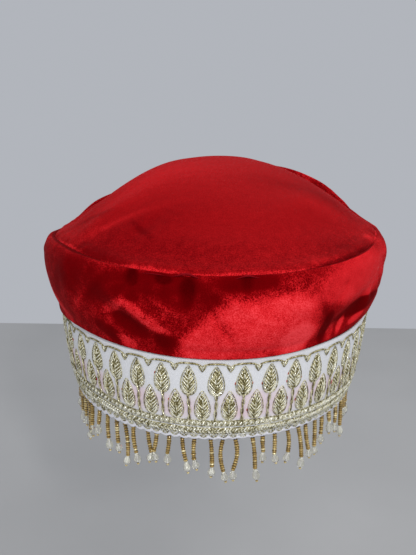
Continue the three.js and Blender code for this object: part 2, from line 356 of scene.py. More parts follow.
def skin(name, points, finish, ring=False, marks=None, **values):
    """Copies of a grid of points (copy, row, column) as one mesh of four-sided faces. Columns close on
    themselves. Rows close too in a ring, and otherwise a fan on its middle closes each end. Faces are
    turned so that the volume, the sum of a . (b x c) / 6 over the triangles, is positive. Marks are the
    flat lengths along the columns and rows, and values are numbers kept at each point."""
    copies, rows, columns, _ = points.shape
    row, column = np.indices((rows if ring else rows - 1, columns)).reshape(2, -1, 1)
    at_row = row + np.array([0, 0, 1, 1])
    at_column = column + np.array([0, 1, 1, 0])
    quads = (at_row % rows) * columns + at_column % columns
    corners = points.reshape(copies, -1, 3)
    fans = np.empty((0, 3), int)
    if not ring:
        first = np.arange(columns)
        last = first + (rows - 1) * columns
        turn = np.roll(first, -1)
        foot = np.stack([np.full(columns, rows * columns), turn, first], axis=-1)
        head = np.stack([np.full(columns, rows * columns + 1), last, last[turn]], axis=-1)
        fans = np.concatenate([foot, head])
        corners = np.concatenate([corners, points[:, [0, -1]].mean(axis=2)], axis=1)
    triangles = np.concatenate([quads[:, [0, 1, 2]], quads[:, [0, 2, 3]], fans])
    a, b, c = np.moveaxis(corners[0][triangles] - corners[0].mean(axis=0), 1, 0)
    if (a * np.cross(b, c)).sum() < 0:
        quads, fans = quads[:, ::-1], fans[:, ::-1]
        at_row, at_column = at_row[:, ::-1], at_column[:, ::-1]
    offsets = np.arange(copies)[:, None, None] * corners.shape[1]
    faces = (quads + offsets).reshape(-1, 4).tolist() + (fans + offsets).reshape(-1, 3).tolist()
    mesh = bpy.data.meshes.new(name)
    mesh.from_pydata(corners.reshape(-1, 3) * MM, [], faces)
    mesh.shade_smooth()
    if marks is not None:
        across, along = marks
        along = np.broadcast_to(along, (copies, along.shape[-1]))
        flat = np.zeros((len(mesh.loops), 2), np.float32)
        inside = copies * quads.size
        flat[:inside, 0] = np.broadcast_to(across[at_column], (copies, *at_column.shape)).ravel()
        flat[:inside, 1] = along[:, at_row].ravel()
        mesh.uv_layers.new(name="flat").uv.foreach_set("vector", flat.ravel())
    for label, value in values.items():
        spread = np.broadcast_to(value, (copies, rows, columns))
        kept = spread.reshape(copies, -1)
        if not ring:
            kept = np.concatenate([kept, spread[:, [0, -1]].mean(axis=2)], axis=1)
        attribute = mesh.attributes.new(label, "FLOAT", "POINT")
        attribute.data.foreach_set("value", kept.astype(np.float32).ravel())
    mesh.materials.append(finish.material)
    piece = bpy.data.objects.new(name, mesh)
    bpy.context.scene.collection.objects.link(piece)
    return piece


def worn(piece, node=None):
    """Fixes a piece to the cap's one body, and in the place of a solid where it has one."""
    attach(piece, "root")
    if node:
        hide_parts(node)


class Signal:
    """A value in a finish. Sums, differences and products of it add Math nodes."""

    def __init__(self, finish, socket):
        self.finish = finish
        self.socket = socket

    def worked(self, operation, first, second):
        return self.finish.node("Math", {"operation": operation}, {0: first, 1: second})

    def __add__(self, other):
        return self.worked("ADD", self, other)

    def __radd__(self, other):
        return self.worked("ADD", other, self)

    def __sub__(self, other):
        return self.worked("SUBTRACT", self, other)

    def __rsub__(self, other):
        return self.worked("SUBTRACT", other, self)

    def __mul__(self, other):
        return self.worked("MULTIPLY", self, other)

    def __rmul__(self, other):
        return self.worked("MULTIPLY", other, self)


class Finish:
    """One material: a Principled surface with fixed socket values, and the nodes that feed it."""

    def __init__(self, name, fixed):
        self.material = bpy.data.materials.new(name)
        self.material.use_nodes = True
        self.tree = self.material.node_tree
        self.surface = self.tree.nodes["Principled BSDF"]
        for socket, value in fixed.items():
            self.surface.inputs[socket].default_value = value

    def node(self, kind, settings, sockets, output=0):
        """Adds a node of a type, sets its settings and then its sockets, and gives one output."""
        made = self.tree.nodes.new("ShaderNode" + kind)
        for setting, value in settings.items():
            if setting == "stops":
                for place, _ in value[2:]:
                    made.color_ramp.elements.new(place)
                for element, (place, colour) in zip(made.color_ramp.elements, value):
                    element.position = place
                    element.color = colour
            else:
                setattr(made, setting, value)
        for socket, value in sockets.items():
            if isinstance(value, Signal):
                self.tree.links.new(value.socket, made.inputs[socket])
            else:
                made.inputs[socket].default_value = value
        return Signal(self, made.outputs[output])

    def noise(self, scale, detail=2):
        """Cloudy noise over the piece, about a half, and finer as its scale grows."""
        place = self.node("TexCoord", {}, {}, "Object")
        return self.node("TexNoise", {}, {"Vector": place, "Scale": scale, "Detail": detail})

    def flat(self):
        """The flat lengths across and along the piece, off its own map."""
        drawn = self.node("UVMap", {"uv_map": "flat"}, {})
        return [self.node("SeparateXYZ", {}, {0: drawn}, axis) for axis in "XY"]

    def wave(self, turns):
        """The sine of so many turns."""
        return self.node("Math", {"operation": "SINE"}, {0: turns * TAU})

    def kept(self, label):
        """The number kept at each point under a label."""
        return self.node("Attribute", {"attribute_name": label}, {}, "Fac")

    def ramp(self, stops, value):
        """The colour of a value on a ramp of places and colours."""
        return self.node("ValToRGB", {"stops": stops}, {"Fac": value}, "Color")

    def mixed(self, share, first, second):
        """The first colour, with a share of the second."""
        return self.node("Mix", {"data_type": "RGBA"}, {0: share, 6: first, 7: second}, 2)

    def bump(self, height, strength, distance):
        """The surface's direction, bumped by a height whose whole rise is the distance."""
        sockets = {"Height": height, "Strength": strength, "Distance": distance * MM}
        return self.node("Bump", {}, sockets)

    def feed(self, socket, signal):
        """Links a signal to one of the surface's sockets."""
        self.tree.links.new(signal.socket, self.surface.inputs[socket])


def dye(red, green, blue):
    """A colour given in 0 to 255 display steps, as linear light: ((c + 0.055) / 1.055)^2.4."""
    display = np.array([red, green, blue]) / 255
    linear = np.where(display <= 0.04045, display / 12.92, ((display + 0.055) / 1.055) ** 2.4)
    return (*linear.tolist(), 1.0)


# The pile: a ramp of reds by a level that holds its tone with painted sheen and shade, broken up by single
# tufts and by softer mottling
TUFT_SCALE = 1500
TUFT_DEPTH = 0.95
MOTTLE_SCALE = 240
MOTTLE_DEPTH = 0.4
PILE_ROUGHNESS = 0.92
PILE_GLOSS = 0.4
PILE_BUMP = (0.35, 0.4)
VELVET_SHADES = [
    (0.0, dye(72, 0, 2)),
    (0.32, dye(106, 1, 5)),
    (0.45, dye(148, 10, 15)),
    (0.57, dye(194, 25, 31)),
    (0.72, dye(216, 35, 41)),
    (1.0, dye(242, 66, 72)),
]
VELVET_BACK = dye(122, 14, 22)

velvet = Finish("crushed_velvet", {
    "Sheen Weight": 0.1,
    "Sheen Roughness": 0.4,
    "Sheen Tint": dye(255, 24, 26),
    "Specular IOR Level": 0.05,
    "Specular Tint": dye(255, 40, 40),
})
tufts = velvet.noise(TUFT_SCALE)
mottle = velvet.noise(MOTTLE_SCALE, detail=4)
pile = velvet.kept("pile")
ruffle = (tufts - 0.5) * TUFT_DEPTH + (mottle - 0.5) * MOTTLE_DEPTH
level = velvet.kept("nap") + ruffle * velvet.kept("grain")
velvet.feed("Base Color", velvet.mixed(pile, VELVET_BACK, velvet.ramp(VELVET_SHADES, level)))
velvet.feed("Roughness", PILE_ROUGHNESS - pile * level * PILE_GLOSS)
velvet.feed("Normal", velvet.bump(tufts + mottle, *PILE_BUMP))

rng = np.random.default_rng(CREASE_SEED)
crease_sign = rng.choice([-1, 1], CREASES)
creases = np.column_stack([
    rng.uniform(-180, 180, CREASES),
    rng.uniform(*CREASE_HEIGHTS, CREASES),
    crease_sign * rng.uniform(*CREASE_SLANTS, CREASES),
    rng.uniform(*CREASE_LENGTHS, CREASES),
    rng.uniform(*CREASE_WIDTHS, CREASES),
    rng.normal(0, CREASE_OUT, CREASES),
])

SIDE_COLUMNS = 480
RIBBON_EDGE_WAY = 0.4
HIDDEN_ROWS = 14
SHOWN_ROWS = 96
SHOWN_CROWDING = 1.4
BACK_ROWS = 28
side_angles = even(SIDE_COLUMNS, 360) - 180
hidden_ways = np.linspace(0, RIBBON_EDGE_WAY, HIDDEN_ROWS, endpoint=False)
shown_ways = between(RIBBON_EDGE_WAY, 1, np.linspace(0, 1, SHOWN_ROWS) ** SHOWN_CROWDING)
side_ways = np.concatenate([hidden_ways, shown_ways])[:, None] + 0 * side_angles
back_ways = np.linspace(1, 0, BACK_ROWS)[:, None] + 0 * side_angles
side_height = through(SIDE_SECTION, side_ways)[0]
# The side's tone with painted sheen and shade: its patches, clipped, then painted highlights and the
# gathers' painted shade, the creases' painted light, and the seam's painted shade
side_tone_and_painted_light = SIDE_BASE_TONE + on_side(SIDE_PAINTED_SHEEN_AND_SHADE, patch, side_angles, side_height)
side_tone_and_painted_light = np.clip(side_tone_and_painted_light, *SIDE_TONE_RANGE) + on_side(SIDE_PAINTED_HIGHLIGHTS_AND_SHADE, patch, side_angles, side_height)
side_tone_and_painted_light = side_tone_and_painted_light + CREASE_PAINTED_LIGHT * on_side(creases, mound, side_angles, side_height)
seam_shade_depth, seam_from = through(SEAM_PAINTED_SHADE, side_angles)
side_tone_and_painted_light = side_tone_and_painted_light - seam_shade_depth * smooth_step(side_ways, seam_from, seam_from + SEAM_PAINTED_SHADE_OVER)
side_points = np.concatenate([
    side_face(side_angles, side_ways, creases, hem=1),
    below(side_face, side_angles, back_ways, VELVET),
])
side_out = np.concatenate([np.ones_like(side_ways), np.zeros_like(back_ways)])
side_tone_and_painted_light = np.concatenate([side_tone_and_painted_light, 0 * back_ways])
side_grain = between(DARK_GRAIN, 1, smooth_step(side_tone_and_painted_light, *GRAIN_TONE_LEVELS))
side_grain = side_grain * through(GRAIN_AROUND, side_angles)[0]

velvet_side = skin("velvet_side", side_points[None], velvet, ring=True,
                   nap=side_tone_and_painted_light, pile=side_out, grain=side_grain)
worn(velvet_side, "crown_side")

# Velvet tip
# The oval top of the cap, cut from the same velvet and sewn to the side edge to edge. It rises in a low
# dome, highest a little behind the middle, and its edge rolls over the seam in a soft lip, painted bright
# along it as a highlight.
SEAM_LAP = 0.4
DOME_HEIGHT = 135
DOME_BACK = 8
DOME_FOOT = 98
TIP_FOLDS_EDGE_SHARE = 0.12

# Share of the way out from the middle, and how much of the dome's rise is left
TIP_SECTION = [
    (0.0, 1.0),
    (0.2, 0.97),
    (0.4, 0.86),
    (0.6, 0.64),
    (0.8, 0.33),
    (0.92, 0.115),
    (0.97, 0.06),
    (1.0, 0.0),
]

# Folds in plan: the middle, the slant from +X, half length, half width, and rise
TIP_FOLDS = [
    (-64, -45, 28, 24, 8, 1.8),
    (-38, -66, 40, 12, 5, -1.3),
    (50, -36, 53, 35, 10, 2.0),
    (62, -52, 45, 24, 9, -1.6),
    (0, -76, 0, 36, 14, -1.5),
    (-42, 52, -32, 26, 10, -1.6),
    (34, 58, 28, 26, 9, 1.6),
    (-62, 34, 55, 40, 18, -10.5),
]

# Patches of crushed pile in plan, painted with their sheen and shade, and painted shade along creases and
# the seam: the same columns, ending in the light
TIP_BASE_TONE = 0.41
TIP_PAINTED_SHEEN_AND_SHADE = [
    (-34, -88, -12, 48, 13, -0.055),
    (50, -20, 12, 32, 8, -0.05),
    (60, -35, 22, 22, 6, 0.035),
    (60, -4, -42, 28, 12, -0.035),
    (72, -62, 42, 22, 7, -0.07),
    (89.5, -36, 58, 5, 3, 0.17),
    (54, -85, 26, 8, 2.6, 0.05),
    (-50, -66, 8, 38, 11, -0.045),
    (-59, -56, 7, 26, 2.8, 0.075),
    (-40.5, -68.5, -55, 9, 1.6, -0.1),
    (-70, -38.5, -31, 14, 3, -0.075),
    (-66, -78, -47, 26, 7, -0.1),
    (-55, -31, 35, 28, 14, 0.055),
    (-30, -8, -20, 44, 28, 0.05),
    (6, 18, 0, 84, 54, 0.038),
]
TIP_GRAIN = 0.16
TIP_EDGE_GRAIN = 0.42
TIP_EDGE_SHARES = (0.72, 0.94)

# Angle, the lip's width as a share of the way out, and the light painted on it: a painted highlight, and
# painted shade where it is drawn into the seam's crease
LIP_EDGE = (-1, -0.4)
LIP = [
    (-180, 0.006, 0.16),
    (-80, 0.006, 0.16),
    (-70, 0.006, 0.16),
    (-62, 0.014, 0.14),
    (-54, 0.02, 0.14),
    (-46, 0.008, 0.14),
    (-32, 0.012, 0.16),
    (-24, 0.028, 0.15),
    (-16, 0.028, 0.15),
    (-9, 0.014, 0.16),
    (0, 0.016, 0.16),
    (8, 0.028, 0.14),
    (16, 0.024, 0.13),
    (26, 0.014, 0.14),
    (33, 0.016, -0.1),
    (45, 0.024, -0.2),
    (58, 0.024, -0.22),
    (68, 0.012, -0.02),
    (78, 0.01, 0.18),
    (92, 0.006, 0.14),
    (120, 0.006, 0.16),
    (180, 0.006, 0.16),
]

# Puckers, where the seam's stitches draw the velvet in, each also painted a little lighter where it rises
# and darker where it sinks
PUCKER_SEED = 8
PUCKERS = 150
PUCKER_SHARES = (0.98, 1.0)
PUCKER_LENGTH = 0.04
PUCKER_WIDTHS = (0.6, 1.5)
PUCKER_RISE = 0.24
PUCKER_PAINTED_LIGHT = 0.02


def on_tip(rows, shape, points):
    """The sum of a table's mounds or patches about their own middles in plan."""
    total = 0
    for right, up, *form in rows:
        total = total + shape(points[..., 0] - right, points[..., 1] - up, *form)
    return total


def tip_face(angle, way):
    """The tip's outer face by angle and way from the seam to the middle: the seam's oval drawn in by the
    share that is left, lifted by the dome's rise above its foot and moved back with it, and folded."""
    share = 1 - way
    puff, lift, _ = through(AROUND, wrapped(angle))
    _, seam_height, drawn, puffed = SIDE_SECTION[-1]
    reach = between(drawn, puffed, puff) + SEAM_LAP
    foot = between(DOME_FOOT, seam_height + lift, share**2)
    rise = through(TIP_SECTION, share)[0]
    points = oval(angle, reach, between(foot, DOME_HEIGHT, rise), share)
    points[..., 1] += DOME_BACK * (1 - share**2)
    points[..., 2] += on_tip(TIP_FOLDS, mound, points) * smooth_step(way, 0, TIP_FOLDS_EDGE_SHARE)
    return points


def puckered(angle, share, rows):
    """The sum of short mounds along the seam: rise x exp(-a^2 - s^2), a and s being the distances from
    each one's own angle and share in its half width and half length."""
    total = 0
    for middle, level, width, rise in rows:
        across = wrapped(angle - middle) / width
        total = total + rise * np.exp(-(across**2) - ((share - level) / PUCKER_LENGTH) ** 2)
    return total


TIP_COLUMNS = 420
TIP_ROWS = 84
TIP_BACK_ROWS = 22
TIP_MIDDLE = 0.012
seam_rng = np.random.default_rng(PUCKER_SEED)
puckers = np.column_stack([
    seam_rng.uniform(-180, 180, PUCKERS),
    seam_rng.uniform(*PUCKER_SHARES, PUCKERS),
    seam_rng.uniform(*PUCKER_WIDTHS, PUCKERS),
    seam_rng.normal(0, 1, PUCKERS),
])
tip_angles = even(TIP_COLUMNS, 360) - 180
tip_shares = np.sqrt(np.linspace(1, TIP_MIDDLE**2, TIP_ROWS))[:, None] + 0 * tip_angles
tip_back_shares = np.linspace(TIP_MIDDLE, 1, TIP_BACK_ROWS)[:, None] + 0 * tip_angles
tip_top = tip_face(tip_angles, 1 - tip_shares)
tip_pucker = puckered(tip_angles, tip_shares, puckers)
tip_top[..., 2] += PUCKER_RISE * tip_pucker
lip_width, lip_painted_light = through(LIP, tip_angles)
tip_lip = smooth_step((tip_shares - 1) / lip_width, *LIP_EDGE)
# The tip's tone with painted sheen and shade, the lip's painted highlight and shade, and the puckers'
# painted light
tip_tone_and_painted_light = TIP_BASE_TONE + on_tip(TIP_PAINTED_SHEEN_AND_SHADE, mound, tip_top) + lip_painted_light * tip_lip
tip_tone_and_painted_light = tip_tone_and_painted_light + PUCKER_PAINTED_LIGHT * tip_pucker
tip_points = np.concatenate([below(tip_face, tip_angles, 1 - tip_back_shares, VELVET), tip_top])
tip_tone_and_painted_light = np.concatenate([0 * tip_back_shares, tip_tone_and_painted_light])
tip_out = np.concatenate([np.zeros_like(tip_back_shares), np.ones_like(tip_shares)])
tip_grain = between(TIP_GRAIN, TIP_EDGE_GRAIN, smooth_step(tip_shares, *TIP_EDGE_SHARES))
tip_grain = np.concatenate([np.zeros_like(tip_back_shares), between(tip_grain, 1, tip_lip)])

velvet_tip = skin("velvet_tip", tip_points[None], velvet, nap=tip_tone_and_painted_light, pile=tip_out, grain=tip_grain)
worn(velvet_tip, "crown_top")

# Ribbon
# An off-white woven ribbon, 51 mm wide, sewn round the lower side over the velvet. It leans outwards as
# it rises and bows a little, and it is drawn in slightly round every embroidered leaf.
TRIM_HEIGHT = 51
TRIM_FLARE = 7.3
TRIM_BOW = 1
RIBBON = 1.2
LEAVES = 42
LEAF_OFFSET = 0.9
LEAF_DRAW = 0.16
RIBBON_COLUMNS = 12 * LEAVES
RIBBON_ROWS = 20
RIBBON_BACK_ROWS = 4
RULER_STEPS = 1440

# At the left the ribbon is sewn on askew, and its braid is spread: how far, and where round the ribbon
SKEW = 5
SKEW_AT = -112
SKEW_SPREAD = 38
SWELL = 3.2
SWELL_HEIGHT = 12.4
SWELL_FROM = (42, 78)
SWELL_TO = (150, 190)

ruler_angles = np.linspace(-180, 180, RULER_STEPS + 1)
ruler_line = oval(ruler_angles, TRIM_FLARE / 2 + TRIM_BOW, 0)
ruler_steps = np.linalg.norm(np.diff(ruler_line, axis=0), axis=1)
GIRTH = ruler_steps.sum()
ruler = np.concatenate([[0], np.cumsum(ruler_steps)]) - GIRTH / 2
LEAF_PITCH = GIRTH / LEAVES


def from_front(arc):
    """The distance round the ribbon, turned back into the half girth on either side of the front."""
    return (arc + GIRTH / 2) % GIRTH - GIRTH / 2


def on_trim(arc, height, out):
    """The point of a drawing on the ribbon, by the distance round it from the front, by height, and by
    how far it stands out: the angle is read off a ruler laid round the ribbon's middle. The foot is drawn
    round by skew x exp(-d^2), d in spreads from the skew's place, and the height is raised by
    swell x s x exp(1 - s), s being the height over the braid's."""
    place = from_front(arc)
    share = np.maximum(height, 0) / SWELL_HEIGHT
    spread = smooth_step(-place, *SWELL_FROM) * (1 - smooth_step(-place, *SWELL_TO))
    height = height + SWELL * spread * share * np.exp(1 - share)
    way = height / TRIM_HEIGHT
    askew = SKEW * bell(place, SKEW_AT, SKEW_SPREAD) * (1 - way)
    angle = np.interp(place - askew, ruler, ruler_angles)
    return oval(angle, TRIM_FLARE * way + TRIM_BOW * np.sin(np.pi * way) + out, height)


# The cloth: a plain weave with uneven slubs, and a cloudy pink blush between the leaves
WEAVE_PITCH = 0.55
WEAVE_DEPTH = 0.45
WEAVE_BUMP = (0.4, 0.12)
SLUB_SCALE = 900
SLUB_DEPTH = 0.5
SLUB_ROUGHNESS = (0.62, 0.3)
STAIN_SCALE = 55
STAIN_RANGE = (0.2, 0.75)
STAIN_DEPTH = 0.75
BLUSH_FROM = (8, 16)
BLUSH_TO = (24, 40)
RIBBON_WHITE = dye(235, 236, 237)
RIBBON_SHADE = dye(207, 207, 212)
RIBBON_PINK = dye(234, 202, 214)

ribbon_cloth = Finish("woven_ribbon", {"Sheen Weight": 0.15, "Specular IOR Level": 0.35})
flat_across, flat_up = ribbon_cloth.flat()
warp = ribbon_cloth.wave(flat_across * (1 / WEAVE_PITCH))
weft = ribbon_cloth.wave(flat_up * (1 / WEAVE_PITCH))
weave = warp * weft * 0.5 + 0.5
slubs = ribbon_cloth.noise(SLUB_SCALE, detail=3)
stain = ribbon_cloth.noise(STAIN_SCALE, detail=3) * ribbon_cloth.kept("blush")
pinked = ribbon_cloth.node("MapRange", {"interpolation_type": "SMOOTHSTEP"}, {
    "Value": stain, "From Min": STAIN_RANGE[0], "From Max": STAIN_RANGE[1]})
cloth_shade = ribbon_cloth.mixed(weave * WEAVE_DEPTH + slubs * SLUB_DEPTH, RIBBON_SHADE, RIBBON_WHITE)
ribbon_cloth.feed("Base Color", ribbon_cloth.mixed(pinked * STAIN_DEPTH, cloth_shade, RIBBON_PINK))
ribbon_cloth.feed("Roughness", SLUB_ROUGHNESS[0] + slubs * SLUB_ROUGHNESS[1])
ribbon_cloth.feed("Normal", ribbon_cloth.bump(weave + slubs, *WEAVE_BUMP))

ribbon_arc = np.linspace(-GIRTH / 2, GIRTH / 2, RIBBON_COLUMNS + 1)
band_arc = ribbon_arc[:-1]
ribbon_heights = np.linspace(0, TRIM_HEIGHT, RIBBON_ROWS)
ribbon_back_heights = np.linspace(TRIM_HEIGHT, 0, RIBBON_BACK_ROWS)
ribbon_leaf = np.cos(TAU * (band_arc - LEAF_OFFSET) / LEAF_PITCH)
ribbon_middle = np.sin(np.pi * ribbon_heights / TRIM_HEIGHT)[:, None]
ribbon_points = np.concatenate([
    on_trim(band_arc, ribbon_heights[:, None], -LEAF_DRAW * ribbon_middle * ribbon_leaf),
    on_trim(band_arc, ribbon_back_heights[:, None], -RIBBON),
])
ribbon_way = np.concatenate([ribbon_heights, ribbon_back_heights])
ribbon_blush = smooth_step(ribbon_way, *BLUSH_FROM) * (1 - smooth_step(ribbon_way, *BLUSH_TO))
ribbon_marks = (ribbon_arc, np.append(ribbon_way, 0))

ribbon = skin("ribbon", ribbon_points[None], ribbon_cloth, ring=True, marks=ribbon_marks,
              blush=ribbon_blush[:, None])
worn(ribbon, "trim_band")

# Leaves
# Two staggered rows of leaves, worked in gold thread over a low pad. Each leaf has a fine outline thread
# and slanting stitches that run from its middle line up and out to its edge, painted darker at the middle
# and paler at the edge as shade and highlight, with a gap between where the pad under them is painted dark
# as shade.
LEAF_HALF_WIDTH = 4.35
LEAF_BASE_POWER = 0.48
LEAF_POINT_POWER = 0.9
LEAF_INSET = 0.8
LEAF_EASE = 6
LEAF_EASE_AT = -110
LEAF_EASE_SPREAD = 22
UPPER_LEAF = (28.2, 18.2)
LOWER_LEAF = (12.7, 18.8)
LEAF_PAD = 0.8
PAD_POWER = 0.7
PAD_WAYS = (0.03, 0.93)
PAD_FOOT = 0.05
PAD_ROWS = 9
PAD_SIDES = 10
PAD_PAINTED_SHADE = -0.05
STITCHES = 10
STITCH_RADIUS = 0.37
STITCH_TAPER = np.array([0.55, 0.95, 1.0, 0.95, 0.6])
STITCH_ROWS = 5
STITCH_SIDES = 6
STITCH_ENDS = (0.06, 0.9)
STITCH_OVER = 0.15
STITCH_SINK = 0.55
STITCH_RISE = 1.25
STITCH_START = 0.15
STITCH_LOWEST = 0.5
STITCH_SAG = 0.25
STITCH_WANDER = 0.28
STITCH_LUSTRE = (0.4, 1.5)
STITCH_GLINT = 0.45
# Along each stitch, painted darker at the leaf's middle as shade and paler towards its edge as a highlight
STITCH_PAINTED_SHADING = np.array([-0.35, -0.1, 0.1, 0.25, 0.4])[:, None]
VEIN_STITCHES = 4
VEIN_LENGTH = 2.8
VEIN_SPREAD = 0.6
VEIN_WAYS = (0.24, 0.74)
VEIN_SINK = 0.9
VEIN_TAPER = np.array([0.5, 0.95, 1.0, 0.95, 0.5])
VEIN_LUSTRE = (0.2, 1.4)
OUTLINE_RADIUS = 0.27
OUTLINE_OUT = 0.3
OUTLINE_HALF_LENGTH = 0.485
OUTLINE_ROWS = 40
OUTLINE_SIDES = 5
OUTLINE_LUSTRE = (-0.1, 0.8)

# Gold thread: the shares of lustre and winding in its tone, the tone of the middle gold, and its gloss
LUSTRE_SHARE = 0.75
WINDING_SHARE = 0.15
GOLD_MIDDLE = 0.45
GOLD_ROUGHNESS = 0.4
GOLD_GLOSS = 0.15
SPOT_SCALE = 1000
SPOT_HEIGHT = 3
WINDING_BUMP = (0.6, 0.15)
PLY_SWELL = 0.16


def gold_thread(name, dark, middle, pale, wrap, painted_glitter):
    """Metal thread wound on a core: its tone goes from dark to pale with the lustre of each stitch, and
    fine spots of painted glitter break it up, and the winding shows as fine lines, sin(2 pi (length / wrap
    + turn)), across the strand."""
    finish = Finish(name, {"Metallic": 0.5, "Specular IOR Level": 0.7})
    turn, length = finish.flat()
    lines = finish.wave(length * (1 / wrap) + turn) * 0.5 + 0.5
    spot = finish.noise(SPOT_SCALE, detail=1)
    tone = finish.kept("lustre") * LUSTRE_SHARE + lines * WINDING_SHARE + (spot - 0.5) * painted_glitter
    finish.feed("Base Color", finish.ramp([(0.0, dark), (GOLD_MIDDLE, middle), (1.0, pale)], tone))
    finish.feed("Roughness", GOLD_ROUGHNESS - tone * GOLD_GLOSS)
    finish.feed("Normal", finish.bump(lines + spot * SPOT_HEIGHT, *WINDING_BUMP))
    return finish


def leaf_width(way):
    """Half the leaf's width by way from base to point: way^0.48 (1 - way)^0.9, scaled to its widest."""
    widest = LEAF_BASE_POWER / (LEAF_BASE_POWER + LEAF_POINT_POWER)
    scale = widest**LEAF_BASE_POWER * (1 - widest) ** LEAF_POINT_POWER
    return LEAF_HALF_WIDTH * way**LEAF_BASE_POWER * (1 - way) ** LEAF_POINT_POWER / scale


def sewn_width(way):
    """Half the width of the stitched middle, which keeps a little inside the outline thread."""
    return np.maximum(leaf_width(way) - LEAF_INSET, SMALL_STEP)


def pad_out(across, way):
    """How far the pad stands out: a low dome, (half width share)^0.7 x sqrt(1 - across^2)."""
    width = sewn_width(way)
    share = np.clip(across / width, -1, 1)
    return LEAF_PAD * (width / LEAF_HALF_WIDTH) ** PAD_POWER * np.sqrt(1 - share**2)


def eased(step):
    """The distance round the ribbon of a step of the pattern, which is stretched a little at the left:
    its even place less ease x exp(-d^2), d being the distance from there in spreads."""
    arc = from_front(LEAF_OFFSET + LEAF_PITCH * step)
    return arc - LEAF_EASE * bell(arc, LEAF_EASE_AT, LEAF_EASE_SPREAD)


def path_step(values, closed):
    """The step of a path at each station: from the one before to the one after."""
    if closed:
        return np.roll(values, -1, axis=-1) - np.roll(values, 1, axis=-1)
    return np.gradient(values, axis=-1)


def laid_cord(arc, height, out, radius, sides, closed=False, plies=0, lay=2.0):
    """A cord laid along paths drawn on the trim, whose last axis is the station. Each section stands
    across its path by radius x cos and out from the trim by radius x sin, and a twisted cord's radius
    swells with its plies, by cos(plies x turn - 2 pi length / lay). Gives the lengths along them too."""
    paths = np.broadcast_arrays(arc, height, out, radius)
    arc, height, out, radius = (path.reshape(-1, path.shape[-1]) for path in paths)
    step_arc = from_front(path_step(arc, closed))
    step_up = path_step(height, closed)
    step = np.hypot(step_arc, step_up)
    length = np.cumsum(step / (2 if closed else 1), axis=-1)
    turn = even(sides, TAU)
    swell = 1 + (PLY_SWELL * np.cos(plies * turn - TAU * length[..., None] / lay) if plies else 0)
    reach = radius[..., None] * swell
    across = reach * np.cos(turn)
    points = on_trim(
        arc[..., None] - across * (step_up / step)[..., None],
        height[..., None] + across * (step_arc / step)[..., None],
        out[..., None] + reach * np.sin(turn),
    )
    return points, length


def sewn(name, thread, arc, height, out, radius, lustre,
         sides=STITCH_SIDES, closed=False, node=None, **twist):
    """Lays gold cords along their paths and fixes them. Their flat lengths are one turn round the cord,
    and the length along it, carried on by one more step where a cord closes on itself."""
    points, length = laid_cord(arc, height, out, radius, sides, closed, **twist)
    if closed:
        length = np.concatenate([length, 2 * length[:, -1:] - length[:, -2:-1]], axis=1)
    marks = (np.linspace(0, 1, sides + 1), length)
    worn(skin(name, points, thread, ring=closed, marks=marks, lustre=lustre), node)


leaf_golds = (dye(104, 93, 44), dye(214, 206, 160), dye(255, 252, 232))
leaf_thread = gold_thread("leaf_thread", *leaf_golds, wrap=0.55, painted_glitter=2.5)
leaf_steps = np.arange(LEAVES)
upper_arc = eased(leaf_steps)
lower_arc = eased(leaf_steps + 0.5)
leaf_arc = np.concatenate([upper_arc, lower_arc])
leaf_foot = np.repeat([UPPER_LEAF[0], LOWER_LEAF[0]], LEAVES)
leaf_length = np.repeat([UPPER_LEAF[1], LOWER_LEAF[1]], LEAVES)

pad_way = np.linspace(*PAD_WAYS, PAD_ROWS)[:, None]
pad_turn = even(PAD_SIDES, TAU)
pad_across = sewn_width(pad_way) * np.cos(pad_turn)
pad_points = on_trim(
    leaf_arc[:, None, None] + pad_across,
    leaf_foot[:, None, None] + leaf_length[:, None, None] * pad_way,
    np.where(np.sin(pad_turn) > 0, pad_out(pad_across, pad_way), PAD_FOOT),
)
pad_marks = (np.linspace(0, 1, PAD_SIDES + 1), np.linspace(0, LOWER_LEAF[1], PAD_ROWS))
# The pads show between the stitches, painted dark as the shade there
worn(skin("leaf_pads", pad_points, leaf_thread, marks=pad_marks, lustre=PAD_PAINTED_SHADE))

# The stitches of all leaves, as (leaf, side, stitch, station)
stitch_end = np.linspace(*STITCH_ENDS, STITCHES)[:, None]
stitch_side = np.array([-1, 1])[:, None, None]
stitch_way = np.linspace(0, 1, STITCH_ROWS)
long = leaf_length[:, None, None, None]
wander = rng.normal(0, STITCH_WANDER, (2 * LEAVES, 2, STITCHES, 1))
end_across = sewn_width(stitch_end) + STITCH_OVER
end_up = stitch_end * long + wander
start_up = np.maximum(end_up - STITCH_RISE * end_across, STITCH_LOWEST)
start_across = STITCH_START + 2 * wander
stitch_across = between(start_across, end_across, stitch_way)
stitch_up = between(start_up, end_up, stitch_way) - STITCH_SAG * np.sin(np.pi * stitch_way)
stitch_out = pad_out(stitch_across, np.clip(stitch_up / long, SMALL_STEP, 1 - SMALL_STEP))
stitch_count = wander.size
stitch_lustre = rng.uniform(*STITCH_LUSTRE, (stitch_count, 1, 1))
stitch_lustre = stitch_lustre + rng.normal(0, STITCH_GLINT, (stitch_count, STITCH_ROWS, 1))
sewn(
    "leaf_stitches", leaf_thread,
    leaf_arc[:, None, None, None] + stitch_side * stitch_across,
    leaf_foot[:, None, None, None] + stitch_up,
    stitch_out + STITCH_SINK * STITCH_RADIUS,
    STITCH_RADIUS * STITCH_TAPER,
    stitch_lustre + STITCH_PAINTED_SHADING,
)

